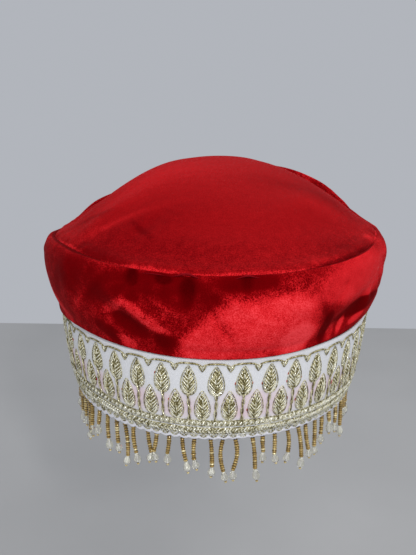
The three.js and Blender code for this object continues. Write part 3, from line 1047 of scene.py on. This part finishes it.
vein_shape = (2 * LEAVES, VEIN_STITCHES, 1)
vein_up = np.linspace(*VEIN_WAYS, VEIN_STITCHES)[:, None] * leaf_length[:, None, None]
vein_up = vein_up + rng.normal(0, STITCH_WANDER, vein_shape) + VEIN_LENGTH * stitch_way
vein_aside = rng.uniform(-VEIN_SPREAD, VEIN_SPREAD, vein_shape)
vein_lean = rng.uniform(-VEIN_SPREAD, VEIN_SPREAD, vein_shape)
vein_across = vein_aside + vein_lean * stitch_way
sewn(
    "leaf_veins", leaf_thread,
    leaf_arc[:, None, None] + vein_across,
    leaf_foot[:, None, None] + vein_up,
    pad_out(vein_across, vein_up / leaf_length[:, None, None]) + VEIN_SINK * STITCH_RADIUS,
    STITCH_RADIUS * VEIN_TAPER,
    rng.uniform(*VEIN_LUSTRE, (2 * LEAVES * VEIN_STITCHES, 1, 1)),
)

outline_turn = even(OUTLINE_ROWS, TAU)
outline_way = 0.5 - OUTLINE_HALF_LENGTH * np.cos(outline_turn)
outline_across = leaf_width(outline_way) * np.sign(np.sin(outline_turn) + SMALL_STEP)
sewn(
    "leaf_outlines", leaf_thread,
    leaf_arc[:, None] + outline_across,
    leaf_foot[:, None] + leaf_length[:, None] * outline_way,
    OUTLINE_OUT,
    OUTLINE_RADIUS,
    rng.uniform(*OUTLINE_LUSTRE, (2 * LEAVES, OUTLINE_ROWS, 1)),
    OUTLINE_SIDES,
    closed=True,
)

# Specks
# Here and there a short red fibre, rubbed off the velvet, is caught under a leaf's edge. Each is a single
# tuft of the pile, and lies loose on the ribbon.
SPECKS = 60
SPECK_WAYS = (0.25, 0.6)
SPECK_LENGTH = 0.09
SPECK_RADIUS = 0.25
SPECK_TAPER = np.array([0.4, 0.9, 1.0, 0.9, 0.4])
SPECK_ASIDE = 0.45
SPECK_OUT = 0.1
SPECK_NAP = 0.5
SPECK_GRAIN = 0.5

speck_leaf = rng.integers(0, 2 * LEAVES, (SPECKS, 1))
speck_way = rng.uniform(*SPECK_WAYS, (SPECKS, 1)) + SPECK_LENGTH * stitch_way
speck_side = rng.choice([-1, 1], (SPECKS, 1))
speck_points, _ = laid_cord(
    leaf_arc[speck_leaf] + speck_side * (leaf_width(speck_way) + SPECK_ASIDE),
    leaf_foot[speck_leaf] + leaf_length[speck_leaf] * speck_way,
    SPECK_OUT,
    SPECK_RADIUS * SPECK_TAPER,
    STITCH_SIDES,
)
worn(skin("red_specks", speck_points, velvet, nap=SPECK_NAP, pile=1, grain=SPECK_GRAIN))

# Stems
# Two fine gold cords, one dull and one bright, wound loosely round each other and couched down under
# every upper leaf, to the upper row of braid. The lower leaves stand on the braid, so they have none.
BRAID_UPPER = (8.0, 12.4)
STEM_RADIUS = 0.4
STEM_ROWS = 32
STEM_TUCK = 0.8
STEM_WAVE = 0.25
STEM_WIND = 0.56
STEM_WINDINGS = 1.6
STEM_OUT = 0.55
STEM_CROSS = 0.2
STEM_LUSTRE = np.array([0.3, 1.1])
STEM_GLINT = 0.2

cord_golds = (dye(84, 72, 32), dye(160, 148, 94), dye(240, 234, 200))
cord_thread = gold_thread("cord_thread", *cord_golds, wrap=0.5, painted_glitter=2.4)
stem_way = np.linspace(0, 1, STEM_ROWS)
stem_phase = rng.uniform(0, TAU, (LEAVES, 1, 1))
stem_wind = TAU * STEM_WINDINGS * stem_way + stem_phase + np.array([0, np.pi])[:, None]
stem_arc = upper_arc[:, None, None] + STEM_WAVE * np.sin(TAU * stem_way + stem_phase)
stem_lustre = np.tile(STEM_LUSTRE, LEAVES)[:, None] + rng.normal(0, STEM_GLINT, (2 * LEAVES, STEM_ROWS))
sewn(
    "stems", cord_thread,
    stem_arc + STEM_WIND * np.cos(stem_wind),
    np.linspace(BRAID_UPPER[1] - STEM_TUCK, UPPER_LEAF[0] + STEM_TUCK, STEM_ROWS),
    STEM_OUT + STEM_CROSS * np.sin(stem_wind),
    STEM_RADIUS,
    stem_lustre[..., None],
)

# Scalloped cord and pendants
# A couched gold cord runs under the ribbon's top edge in shallow scallops, one over each upper leaf. It
# thins towards the points, and from each point hangs a small pendant of pale stitches shaped like a V.
SCALLOP_TOP = 47.8
SCALLOP_DIP = 1.7
SCALLOP_RADIUS = 0.52
SCALLOP_THINNING = 0.24
SCALLOP_OUT = 0.45
SCALLOP_STATIONS = 40
SCALLOP_SIDES = 8
SCALLOP_LAY = 2.2
SCALLOP_LUSTRE = 0.4
SCALLOP_POINT_LUSTRE = 0.5
PENDANT_TOP = 46.2
PENDANT_OUT = 0.4
PENDANT_RADIUS = 0.38
PENDANT_TAPER = np.array([0.7, 1.0, 1.0, 0.85, 0.5])
PENDANT_LUSTRE = [0.15, 1.2]

# Straight stitches: how far across and up each one starts, and how far across and up it ends
PENDANT_STITCHES = [
    (1.95, 0.1, 0.1, -3.3),
    (0.95, 0.2, 0.1, -1.7),
]


def straight(rows):
    """The stations across and up of a table's straight stitches, even from their start to their end."""
    start, end = np.split(np.array(rows)[..., None], 2, axis=1)
    return np.moveaxis(between(start, end, stitch_way), 1, 0)


scallop_way = np.arange(LEAVES * SCALLOP_STATIONS) / SCALLOP_STATIONS
scallop_bend = np.abs(2 * (scallop_way % 1) - 1) ** 3
sewn(
    "scallop_cord", cord_thread,
    eased(scallop_way - 0.5),
    SCALLOP_TOP - SCALLOP_DIP * scallop_bend,
    SCALLOP_OUT,
    SCALLOP_RADIUS - SCALLOP_THINNING * scallop_bend,
    (SCALLOP_LUSTRE + SCALLOP_POINT_LUSTRE * scallop_bend)[:, None],
    SCALLOP_SIDES,
    closed=True,
    plies=2,
    lay=SCALLOP_LAY,
)

pendant_across, pendant_up = straight(PENDANT_STITCHES)
sewn(
    "pendants", leaf_thread,
    lower_arc[:, None, None, None] + stitch_side * pendant_across,
    PENDANT_TOP + pendant_up,
    PENDANT_OUT,
    PENDANT_RADIUS * PENDANT_TAPER,
    np.tile(PENDANT_LUSTRE, 2 * LEAVES)[:, None, None],
)

# Upper braid
# A narrow row of gold chain at the foot of the leaves: small slanting loops of thread, each round a pale
# padded stitch, on a ground of dark gold, kept between two fine edge cords.
CHAIN_PITCH = 3.0
CHAIN_LINKS = int(GIRTH / CHAIN_PITCH)
CHAIN_MIDDLE = sum(BRAID_UPPER) / 2
CHAIN_JITTER = 0.1
CHAIN_ROWS = 14
CHAIN_SIDES = 5
CHAIN_HALF_LENGTH = 1.2
CHAIN_HALF_HEIGHT = 1.4
CHAIN_RADIUS = 0.4
CHAIN_OUT = 0.75
CHAIN_TILT = 0.38
CHAIN_SLANT = 0.6
CHAIN_LUSTRE = (0.35, 0.95)
CHAIN_GLINT = 0.3
PUFF_RADIUS = 0.72
PUFF_WAYS = (-0.75, 0.75)
PUFF_TAPER = np.array([0.4, 0.9, 1.0, 0.9, 0.4])
PUFF_LUSTRE = (1.2, 1.8)
GROUND_BANDS = [(8.5, 12.1), (3.3, 7.4)]
GROUND_ROWS = 6
GROUND_OUT = 0.3
GROUND_LUSTRE = np.array([(0.3, 1.0), (0.05, 0.85)])
EDGE_HEIGHTS = np.array([8.7, 12.2])[:, None]
EDGE_RADIUS = 0.26
EDGE_OUT = 0.42
EDGE_LAY = 1.5
EDGE_LUSTRE = 0.3
EDGE_STATIONS = 1200


def band(arc, heights, out, thickness):
    """A strip round the trim: its face at these heights, so far out, then its back, a thickness further
    in, at the same heights from the top down."""
    return np.concatenate([on_trim(arc, heights, out), on_trim(arc, heights[::-1], out - thickness)])


braid_golds = (dye(92, 82, 38), dye(200, 192, 148), dye(255, 253, 238))
braid_thread = gold_thread("braid_thread", *braid_golds, wrap=0.5, painted_glitter=3.2)
chain_turn = even(CHAIN_ROWS, TAU)
chain_arc = even(CHAIN_LINKS, GIRTH)[:, None]
chain_up = CHAIN_HALF_HEIGHT * np.sin(chain_turn)
chain_jitter = rng.normal(0, CHAIN_JITTER, (CHAIN_LINKS, 1))
chain_lustre = rng.uniform(*CHAIN_LUSTRE, (CHAIN_LINKS, 1, 1))
sewn(
    "braid_upper_chain", braid_thread,
    chain_arc + CHAIN_HALF_LENGTH * np.cos(chain_turn) + CHAIN_SLANT * chain_up,
    CHAIN_MIDDLE + chain_up + chain_jitter,
    CHAIN_OUT + CHAIN_TILT * np.cos(chain_turn),
    CHAIN_RADIUS,
    chain_lustre + rng.normal(0, CHAIN_GLINT, (CHAIN_LINKS, CHAIN_ROWS, 1)),
    CHAIN_SIDES,
    closed=True,
    node="braid_upper",
)

puff_up = CHAIN_HALF_HEIGHT * np.linspace(*PUFF_WAYS, STITCH_ROWS)
sewn(
    "braid_upper_puffs", braid_thread,
    chain_arc + CHAIN_SLANT * puff_up,
    CHAIN_MIDDLE + puff_up,
    CHAIN_OUT,
    PUFF_RADIUS * PUFF_TAPER,
    rng.uniform(*PUFF_LUSTRE, (CHAIN_LINKS, 1, 1)),
)

ground_heights = np.array([np.linspace(*ends, GROUND_ROWS) for ends in GROUND_BANDS])
ground_points = [band(band_arc, heights[:, None], GROUND_OUT, 2 * GROUND_OUT) for heights in ground_heights]
ground_round = np.concatenate([ground_heights, ground_heights[:, ::-1], ground_heights[:, :1]], axis=1)
ground_dull, ground_bright = GROUND_LUSTRE.T[:, :, None, None]
ground_lustre = rng.uniform(ground_dull, ground_bright, (2, 2 * GROUND_ROWS, RIBBON_COLUMNS))
grounds = skin("braid_grounds", np.array(ground_points), braid_thread, ring=True,
               marks=(ribbon_arc, ground_round), lustre=ground_lustre)
worn(grounds)

edge_arc = even(EDGE_STATIONS, GIRTH)
sewn("braid_upper_edges", braid_thread, edge_arc, EDGE_HEIGHTS, EDGE_OUT, EDGE_RADIUS, EDGE_LUSTRE,
     closed=True, plies=2, lay=EDGE_LAY)

# Lower braid
# The wider row along the rim: a fishbone of slanting gold stitches that meet along its middle, and under
# it a row of small gold rings with finer stitches between them, sewn through the ribbon's edge.
FISHBONE_PITCH = 1.7
FISHBONES = int(GIRTH / FISHBONE_PITCH)
FISHBONE_MIDDLE = 5.3
FISHBONE_LEAN = 1.9
FISHBONE_HALF_HEIGHT = 1.85
FISHBONE_CROSS = 0.08
FISHBONE_OUT = 0.85
FISHBONE_DIP = 0.3
FISHBONE_RADIUS = 0.52
FISHBONE_TAPER = np.array([0.6, 1.0, 1.0, 0.95, 0.6])
FISHBONE_LUSTRE = (0.1, 1.65)
RINGS = 108
RING_HEIGHT = 2.0
RING_RADIUS = 1.02
RING_THREAD = 0.32
RING_OUT = 0.5
RING_ROWS = 16
RING_LUSTRE = (0.3, 0.9)
RIM_STITCH_RADIUS = 0.24
RIM_STITCH_OUT = 0.4
RIM_STITCH_LUSTRE = (0.2, 1)

# Straight stitches between two rings: across and up at the start, and across and up at the end
RIM_STITCHES = [
    (-1.6, -0.9, -0.4, 1.0),
    (1.6, -0.9, 0.4, 1.0),
]

bone_arc = even(FISHBONES, GIRTH)[:, None, None]
bone_side = np.array([-1, 1])[:, None]
sewn(
    "braid_lower_fishbone", braid_thread,
    bone_arc + FISHBONE_LEAN * stitch_way,
    FISHBONE_MIDDLE + bone_side * FISHBONE_HALF_HEIGHT * (stitch_way - FISHBONE_CROSS),
    FISHBONE_OUT - FISHBONE_DIP * stitch_way,
    FISHBONE_RADIUS * FISHBONE_TAPER,
    rng.uniform(*FISHBONE_LUSTRE, 2 * FISHBONES)[:, None, None],
    node="braid_lower",
)

ring_arc = even(RINGS, GIRTH)[:, None]
ring_turn = even(RING_ROWS, TAU)
sewn(
    "rim_rings", braid_thread,
    ring_arc + RING_RADIUS * np.cos(ring_turn),
    RING_HEIGHT + RING_RADIUS * np.sin(ring_turn),
    RING_OUT,
    RING_THREAD,
    rng.uniform(*RING_LUSTRE, (RINGS, 1, 1)),
    closed=True,
)

rim_across, rim_up = straight(RIM_STITCHES)
sewn(
    "rim_stitches", braid_thread,
    ring_arc[:, :, None] + GIRTH / RINGS / 2 + rim_across,
    RING_HEIGHT + rim_up,
    RIM_STITCH_OUT,
    RIM_STITCH_RADIUS,
    rng.uniform(*RIM_STITCH_LUSTRE, (2 * RINGS, 1, 1)),
)

# Picot edge
# The ribbon's lower edge is finished with a strip of white silk, cut into small scallops, one to a ring.
# It is caught down by the rings, and hangs lowest at the left of the front.
PICOT_TOP = 1.3
PICOT_HEIGHT = 0.1
PICOT_OUT = 0.3
PICOT_THICKNESS = 0.7
PICOT_STATIONS = 12
PICOT_ROWS = 5
SILK_SCALE = 1300
SILK_COLOURS = (dye(206, 204, 214), dye(246, 246, 250))
SILK_ROUGHNESS = (0.5, 0.3)
SILK_BUMP = (0.4, 0.12)

# Angle, and how far the scallops hang down
PICOT_DROP = [
    (-180, 0.8),
    (-70, 1.1),
    (-45, 1.4),
    (-20, 1.2),
    (5, 0.6),
    (60, 0.7),
    (180, 0.8),
]


def cloudy(name, fixed, scale, detail, colours, roughness):
    """A finish clouded by noise, with the noise: it goes between two colours, and its roughness is the
    first number given and the noise times the second."""
    finish = Finish(name, fixed)
    cloud = finish.noise(scale, detail)
    finish.feed("Base Color", finish.mixed(cloud, *colours))
    finish.feed("Roughness", roughness[0] + cloud * roughness[1])
    return finish, cloud


picot_silk, silk = cloudy("picot_silk", {"Sheen Weight": 0.2}, SILK_SCALE, 3, SILK_COLOURS, SILK_ROUGHNESS)
picot_silk.feed("Normal", picot_silk.bump(silk, *SILK_BUMP))

picot_step = np.arange(RINGS * PICOT_STATIONS) / PICOT_STATIONS
picot_arc = picot_step * GIRTH / RINGS
picot_drop = through(PICOT_DROP, np.interp(from_front(picot_arc), ruler, ruler_angles))[0]
picot_low = PICOT_HEIGHT - picot_drop * np.abs(np.cos(np.pi * picot_step))
picot_heights = between(PICOT_TOP, picot_low, np.linspace(0, 1, PICOT_ROWS)[:, None])
picot_points = band(picot_arc, picot_heights, PICOT_OUT, PICOT_THICKNESS)
worn(skin("picot_edge", picot_points[None], picot_silk, ring=True))

# Fringe tape and threads
# A white woven tape sewn behind the ribbon's foot carries the fringe. A thread hangs from it at every
# strand, down through the beads and the drop.
LAYER_GAP = 0.3
TAPE = 0.8
TAPE_LOW = -1.5
TAPE_HIGH = 8
TAPE_ROWS = 5
FRINGE_TURNS = [0, 10, 19]
FRINGE_FIRST_ANGLE = -56.6
THREAD_RADIUS = 0.28
THREAD_FROM = 0.4
THREAD_SHORT = 1.0
THREAD_ROWS = 14
THREAD_SIDES = 5

# Shift along the rim, sway and bow of the beads, sway of the drop, and where the drop starts and ends
FRINGE = [
    (-0.9, -1.6, 0.4, 1.6, 18.0, 25.5),
    (1.2, -2.0, 0.3, -1.5, 13.0, 21.5),
    (2.6, -0.2, -0.8, 1.4, 17.5, 25.5),
    (2.6, 0.8, -0.3, 1.0, 17.0, 23.5),
    (0.7, 2.6, 1.1, -1.6, 22.5, 29.8),
    (0.2, 1.6, -1.1, 1.4, 18.5, 25.5),
    (2.2, 2.4, -0.4, -1.4, 15.0, 22.0),
    (0.4, -2.2, 0.3, 1.6, 14.0, 20.8),
    (0.1, -1.2, 0.4, 0.4, 13.5, 20.8),
    (0.1, 2.2, -0.6, 1.4, 16.5, 24.2),
    (-0.4, -0.4, -0.5, 1.8, 15.0, 21.8),
    (0.7, 1.2, 0.3, -0.6, 19.0, 26.0),
    (0.5, 0.2, -1.7, 1.6, 22.0, 29.2),
    (-1.2, -0.6, 2.0, 0.4, 21.5, 28.5),
    (1.5, 2.4, 0.5, 1.4, 21.9, 30.5),
    (0.2, 0.6, -0.3, -0.4, 12.0, 19.0),
    (-0.3, 0.4, 0.3, 1.6, 15.0, 21.5),
    (0.2, 1.6, 1.1, -1.8, 16.0, 22.8),
    (0.1, 4.4, 0.8, -0.6, 22.5, 30.5),
    (-1.6, 3.8, -0.6, 1.2, 19.5, 26.0),
    (-1.4, 1.2, 0.4, 0.6, 19.8, 25.8),
    (-2.5, 0.4, 0.5, 0.6, 14.2, 21.0),
    (-2.5, 2.2, -0.3, 0.4, 9.8, 18.5),
    (-1.6, 1.8, 1.2, 0.8, 14.5, 21.5),
]

tape_heights = np.linspace(TAPE_LOW, TAPE_HIGH, TAPE_ROWS)
tape_points = band(band_arc, tape_heights[:, None], -RIBBON - LAYER_GAP, TAPE)
tape_marks = (ribbon_arc, np.concatenate([tape_heights, tape_heights[::-1], tape_heights[:1]]))
worn(skin("fringe_tape", tape_points[None], ribbon_cloth, ring=True, marks=tape_marks, blush=0))

strands = np.concatenate([np.roll(FRINGE, turn, axis=0) for turn in FRINGE_TURNS])
strand_shift, strand_sway, strand_bow, strand_kick, strand_beads, strand_end = strands.T[:, :, None]
strand_count = len(strands)
strand_place = FRINGE_FIRST_ANGLE + even(strand_count, 360)[:, None]
strand_angle = strand_place + np.degrees(strand_shift / RIM_HALF_DEPTH)
strand_reach = -RIBBON - LAYER_GAP - TAPE / 2
strand_top = oval(strand_angle, strand_reach, 0)
rim_way = unit(oval(strand_angle + 1, strand_reach, 0) - oval(strand_angle - 1, strand_reach, 0))
DOWN = np.array([0, 0, -1])


def strand_line(depth):
    """The middle of each strand (strand, depth): straight down from the tape, swayed along the rim by
    sway x the share of the beads passed, bowed by a half sine, and swayed on by the kick of the drop."""
    passed = np.clip(depth / strand_beads, 0, 1)
    beyond = np.clip((depth - strand_beads) / (strand_end - strand_beads), 0, 1)
    aside = strand_sway * passed + strand_bow * np.sin(np.pi * passed) + strand_kick * beyond
    return strand_top + rim_way * aside[..., None] + DOWN * depth[..., None]


def strand_frame(depth, picked):
    """The middle, the downward axis and the side of each strand at a depth, for those that are picked."""
    axis = unit(strand_line(depth + 0.5) - strand_line(depth - 0.5))
    side = unit(rim_way - axis * (rim_way * axis).sum(axis=-1, keepdims=True))
    return [part[picked][:, None, None] for part in (strand_line(depth), axis, side)]


def ringed(side, front, sides):
    """Spokes round an axis: side x cos + front x sin of each even turn."""
    turn = even(sides, TAU)[:, None]
    return side * np.cos(turn) + front * np.sin(turn)


def turned(strand, radius, along, sides):
    """Bodies turned about their strand's axis: middle + axis x along + radius x spoke, where radius and
    along are given for each copy and row."""
    middle, axis, side = strand
    spoke = ringed(side, np.cross(axis, side), sides)
    return middle + axis * along[..., None, None] + spoke * radius[..., None, None]


rim_out = np.cross(rim_way, [0, 0, 1])
thread_depth = THREAD_FROM + (strand_end - THREAD_SHORT) * np.linspace(0, 1, THREAD_ROWS)
thread_spoke = ringed(rim_way[:, :, None], rim_out[:, :, None], THREAD_SIDES)
thread_points = strand_line(thread_depth)[:, :, None] + THREAD_RADIUS * thread_spoke
worn(skin("strand_threads", thread_points, picot_silk))

# Seed beads
# Bronze-gold glass seed beads, squat rounds about 2.8 mm across, threaded close on each strand. They
# differ a little in size, and about one in ten is painted brighter than the rest, as a glint.
BEAD_RADIUS = 1.38
BEAD_LENGTH = 1.5
BEAD_FROM = 1.7
BEAD_SIDES = 9
BEAD_SPREAD = 0.06
BEAD_SHINE = (0.4, 1)
GLINT_SHINE = 0.45
GLINT_FROM = 0.9
STREAK_SCALE = 800
STREAK_DEPTH = 0.6
TONE_SHARE = 0.8
BEAD_ROUGHNESS = (0.08, 0.14)
BEAD_COAT = (0.5, 0.5)
BEAD_SHADES = [(0.0, dye(86, 62, 20)), (0.5, dye(176, 144, 68)), (1.0, dye(255, 242, 190))]

# Share of the radius, place along the bead in lengths, and tone: painted dark at the ends as shade where
# beads meet, and palest at the middle as a highlight
BEAD_PROFILE = np.array([
    (0.3, -0.46, -0.9),
    (0.82, -0.36, 0.6),
    (1.0, 0.0, 1.0),
    (0.82, 0.36, 0.6),
    (0.3, 0.46, -0.9),
])
bead_reach, bead_place, bead_painted_shading = BEAD_PROFILE.T

bead_glass = Finish("bronze_bead", {"Metallic": 0.35, "IOR": 1.52, "Coat Roughness": 0.06})
streak = bead_glass.noise(STREAK_SCALE, detail=1)
bead_tone = bead_glass.kept("tone") * TONE_SHARE + (streak - 0.5) * STREAK_DEPTH
bead_glass.feed("Base Color", bead_glass.ramp(BEAD_SHADES, bead_tone))
bead_glass.feed("Roughness", BEAD_ROUGHNESS[0] + streak * BEAD_ROUGHNESS[1])
bead_glass.feed("Coat Weight", BEAD_COAT[0] + streak * BEAD_COAT[1])

bead_count = np.round((strand_beads - BEAD_FROM) / BEAD_LENGTH).astype(int)
bead_order = np.arange(bead_count.max())
bead_on = bead_order < bead_count
bead_step = (strand_beads - BEAD_FROM) / bead_count
bead_depth = BEAD_FROM + (bead_order + 0.5) * bead_step
bead_size = 1 + rng.normal(0, BEAD_SPREAD, bead_depth.shape)
bead_radius = (BEAD_RADIUS * bead_size)[bead_on][:, None] * bead_reach
bead_along = (bead_step + 0 * bead_depth)[bead_on][:, None] * bead_place
bead_points = turned(strand_frame(bead_depth, bead_on), bead_radius, bead_along, BEAD_SIDES)
bead_shine = rng.uniform(*BEAD_SHINE, (len(bead_points), 1, 1))
# About one in ten beads painted brighter, as a glint
bead_painted_glint = rng.uniform(0, 1, (len(bead_points), 1, 1)) > GLINT_FROM
bead_shine = (bead_shine + GLINT_SHINE * bead_painted_glint) * bead_painted_shading[:, None]
worn(skin("seed_beads", bead_points, bead_glass, tone=bead_shine), "bead_fringe")

# Drops
# Each strand ends in a frosted clear drop with a milky white core round its thread, held on by a small
# gold stop bead.
DROP_RADIUS = 2.25
DROP_ROWS = 11
DROP_SIDES = 14
FROST_SCALE = 160
FROST_COLOURS = (dye(240, 237, 220), dye(253, 252, 244))
FROST_ROUGHNESS = (0.1, 0.16)
CORE_SIDES = 8
CORE_SHARE = 0.84
CORE_TAPER = np.array([0.9, 1.0, 1.0, 1.0, 0.9, 0.5])
CORE_FROM = 0.02
CORE_LONG = 0.8
CORE_SHORT = (0.16, 0.3)
LONG_CORES = 0.4
MILK_SCALE = 500
MILK_COLOURS = (dye(246, 246, 242), dye(255, 255, 254))
MILK_ROUGHNESS = (0.2, 0.2)
STOP_LENGTH = 1.3
STOP_RADIUS = 0.85
STOP_SHINE = 1.1

# Way down the drop, and share of its radius
DROP_SECTION = [
    (0.0, 0.42),
    (0.2, 0.54),
    (0.45, 0.84),
    (0.66, 1.0),
    (0.84, 0.86),
    (0.95, 0.5),
    (1.0, 0.16),
]

clear = {"Transmission Weight": 0.86, "IOR": 1.22, "Specular IOR Level": 0.6}
drop_glass, _ = cloudy("frosted_drop", clear, FROST_SCALE, 1, FROST_COLOURS, FROST_ROUGHNESS)
milk, _ = cloudy("milky_core", {"Specular IOR Level": 0.6}, MILK_SCALE, 2, MILK_COLOURS, MILK_ROUGHNESS)


def drop_profile(way):
    """A drop's radius by way from its top, on a smooth curve through its section."""
    return DROP_RADIUS * through(DROP_SECTION, way)[0]


every_strand = (slice(None), 0)
drop_length = strand_end - STOP_LENGTH - strand_beads
drop_way = np.linspace(0, 1, DROP_ROWS) + 0 * drop_length
drop_frame = strand_frame(strand_beads + drop_length / 2, every_strand)
drop_points = turned(drop_frame, drop_profile(drop_way), drop_length * (drop_way - 0.5), DROP_SIDES)
worn(skin("drops", drop_points, drop_glass))

core_long = rng.uniform(0, 1, (strand_count, 1)) < LONG_CORES
core_reach = np.where(core_long, CORE_LONG, rng.uniform(*CORE_SHORT, (strand_count, 1)))
core_way = CORE_FROM + np.linspace(0, 1, len(CORE_TAPER)) * core_reach
core_radius = CORE_SHARE * drop_profile(core_way) * CORE_TAPER
core_points = turned(drop_frame, core_radius, drop_length * (core_way - 0.5), CORE_SIDES)
worn(skin("drop_cores", core_points, milk))

stop_frame = strand_frame(strand_end - STOP_LENGTH / 2, every_strand)
stop_radius = STOP_RADIUS * bead_reach + 0 * strand_end
stop_points = turned(stop_frame, stop_radius, STOP_LENGTH * bead_place + 0 * strand_end, BEAD_SIDES)
# Stop beads carry the same painted shade at their ends and highlight at their middle
worn(skin("stop_beads", stop_points, bead_glass, tone=STOP_SHINE * bead_painted_shading[:, None]))

# Floor, light and camera
# A pale floor a good way under the cap, a soft overhead light, a broad front fill, and the camera at the
# photograph's height, tilt and distance.
FLOOR_DEPTH = 250
FLOOR_THICKNESS = 20
FLOOR_HALF_WIDTH = 1300
FLOOR_FRONT = -1300
FLOOR_BACK = 705
FLOOR_SCALE = 6
FLOOR_COLOURS = (dye(158, 158, 158), dye(172, 172, 172))
FLOOR_ROUGHNESS = (0.7, 0.2)
ROOM_STRENGTH = 0.66
CAMERA_PIXELS = 834
IMAGE_HEIGHT = 555
SENSOR = 36
CAMERA_TARGET = Vector((-4.3, 0, 61.1))
CAMERA_DISTANCE = 533
CAMERA_ELEVATION = np.radians(18.2)
CAMERA_ROLL = np.radians(0.8)

floor_paint, _ = cloudy("floor_paint", {}, FLOOR_SCALE, 4, FLOOR_COLOURS, FLOOR_ROUGHNESS)
floor_x = np.array([-1, 1, 1, -1]) * FLOOR_HALF_WIDTH
floor_y = np.array([FLOOR_FRONT, FLOOR_FRONT, FLOOR_BACK, FLOOR_BACK])
floor_z = np.array([-FLOOR_DEPTH - FLOOR_THICKNESS, -FLOOR_DEPTH])[:, None]
floor_points = np.stack(np.broadcast_arrays(floor_x, floor_y, floor_z), axis=-1)
floor = skin("floor", floor_points[None], floor_paint)
floor.data.shade_flat()

# Name, place, size and power of each light, all aimed at the middle of the cap
LIGHTS = [
    ("key", (450, -750, 1250), 800, 6),
    ("fill", (-500, -1000, 500), 900, 2.5),
    ("glint", (250, -1100, 700), 90, 5.5),
    ("back", (250, 500, 1100), 500, 5),
]
for name, spot, size, power in LIGHTS:
    lamp = bpy.data.lights.new(name, "AREA")
    lamp.size = size * MM
    lamp.energy = power
    holder = bpy.data.objects.new(name, lamp)
    holder.location = Vector(spot) * MM
    holder.rotation_euler = (CAMERA_TARGET - Vector(spot)).to_track_quat("-Z", "Y").to_euler()
    bpy.context.scene.collection.objects.link(holder)

world = bpy.data.worlds.new("soft_room")
world.use_nodes = True
world.node_tree.nodes["Background"].inputs["Color"].default_value = dye(214, 218, 226)
world.node_tree.nodes["Background"].inputs["Strength"].default_value = ROOM_STRENGTH
bpy.context.scene.world = world
bpy.context.scene.view_settings.view_transform = "Standard"

lens = bpy.data.cameras.new("camera")
lens.sensor_width = SENSOR
lens.lens = CAMERA_PIXELS * SENSOR / IMAGE_HEIGHT
lens.clip_start = 0.05
lens.clip_end = 20
camera = bpy.data.objects.new("camera", lens)
back = Vector((0, -np.cos(CAMERA_ELEVATION), np.sin(CAMERA_ELEVATION)))
tilt = Matrix.Rotation(np.pi / 2 - CAMERA_ELEVATION, 4, "X") @ Matrix.Rotation(CAMERA_ROLL, 4, "Z")
camera.matrix_world = Matrix.Translation((CAMERA_TARGET + back * CAMERA_DISTANCE) * MM) @ tilt
bpy.context.scene.collection.objects.link(camera)
bpy.context.scene.camera = camera
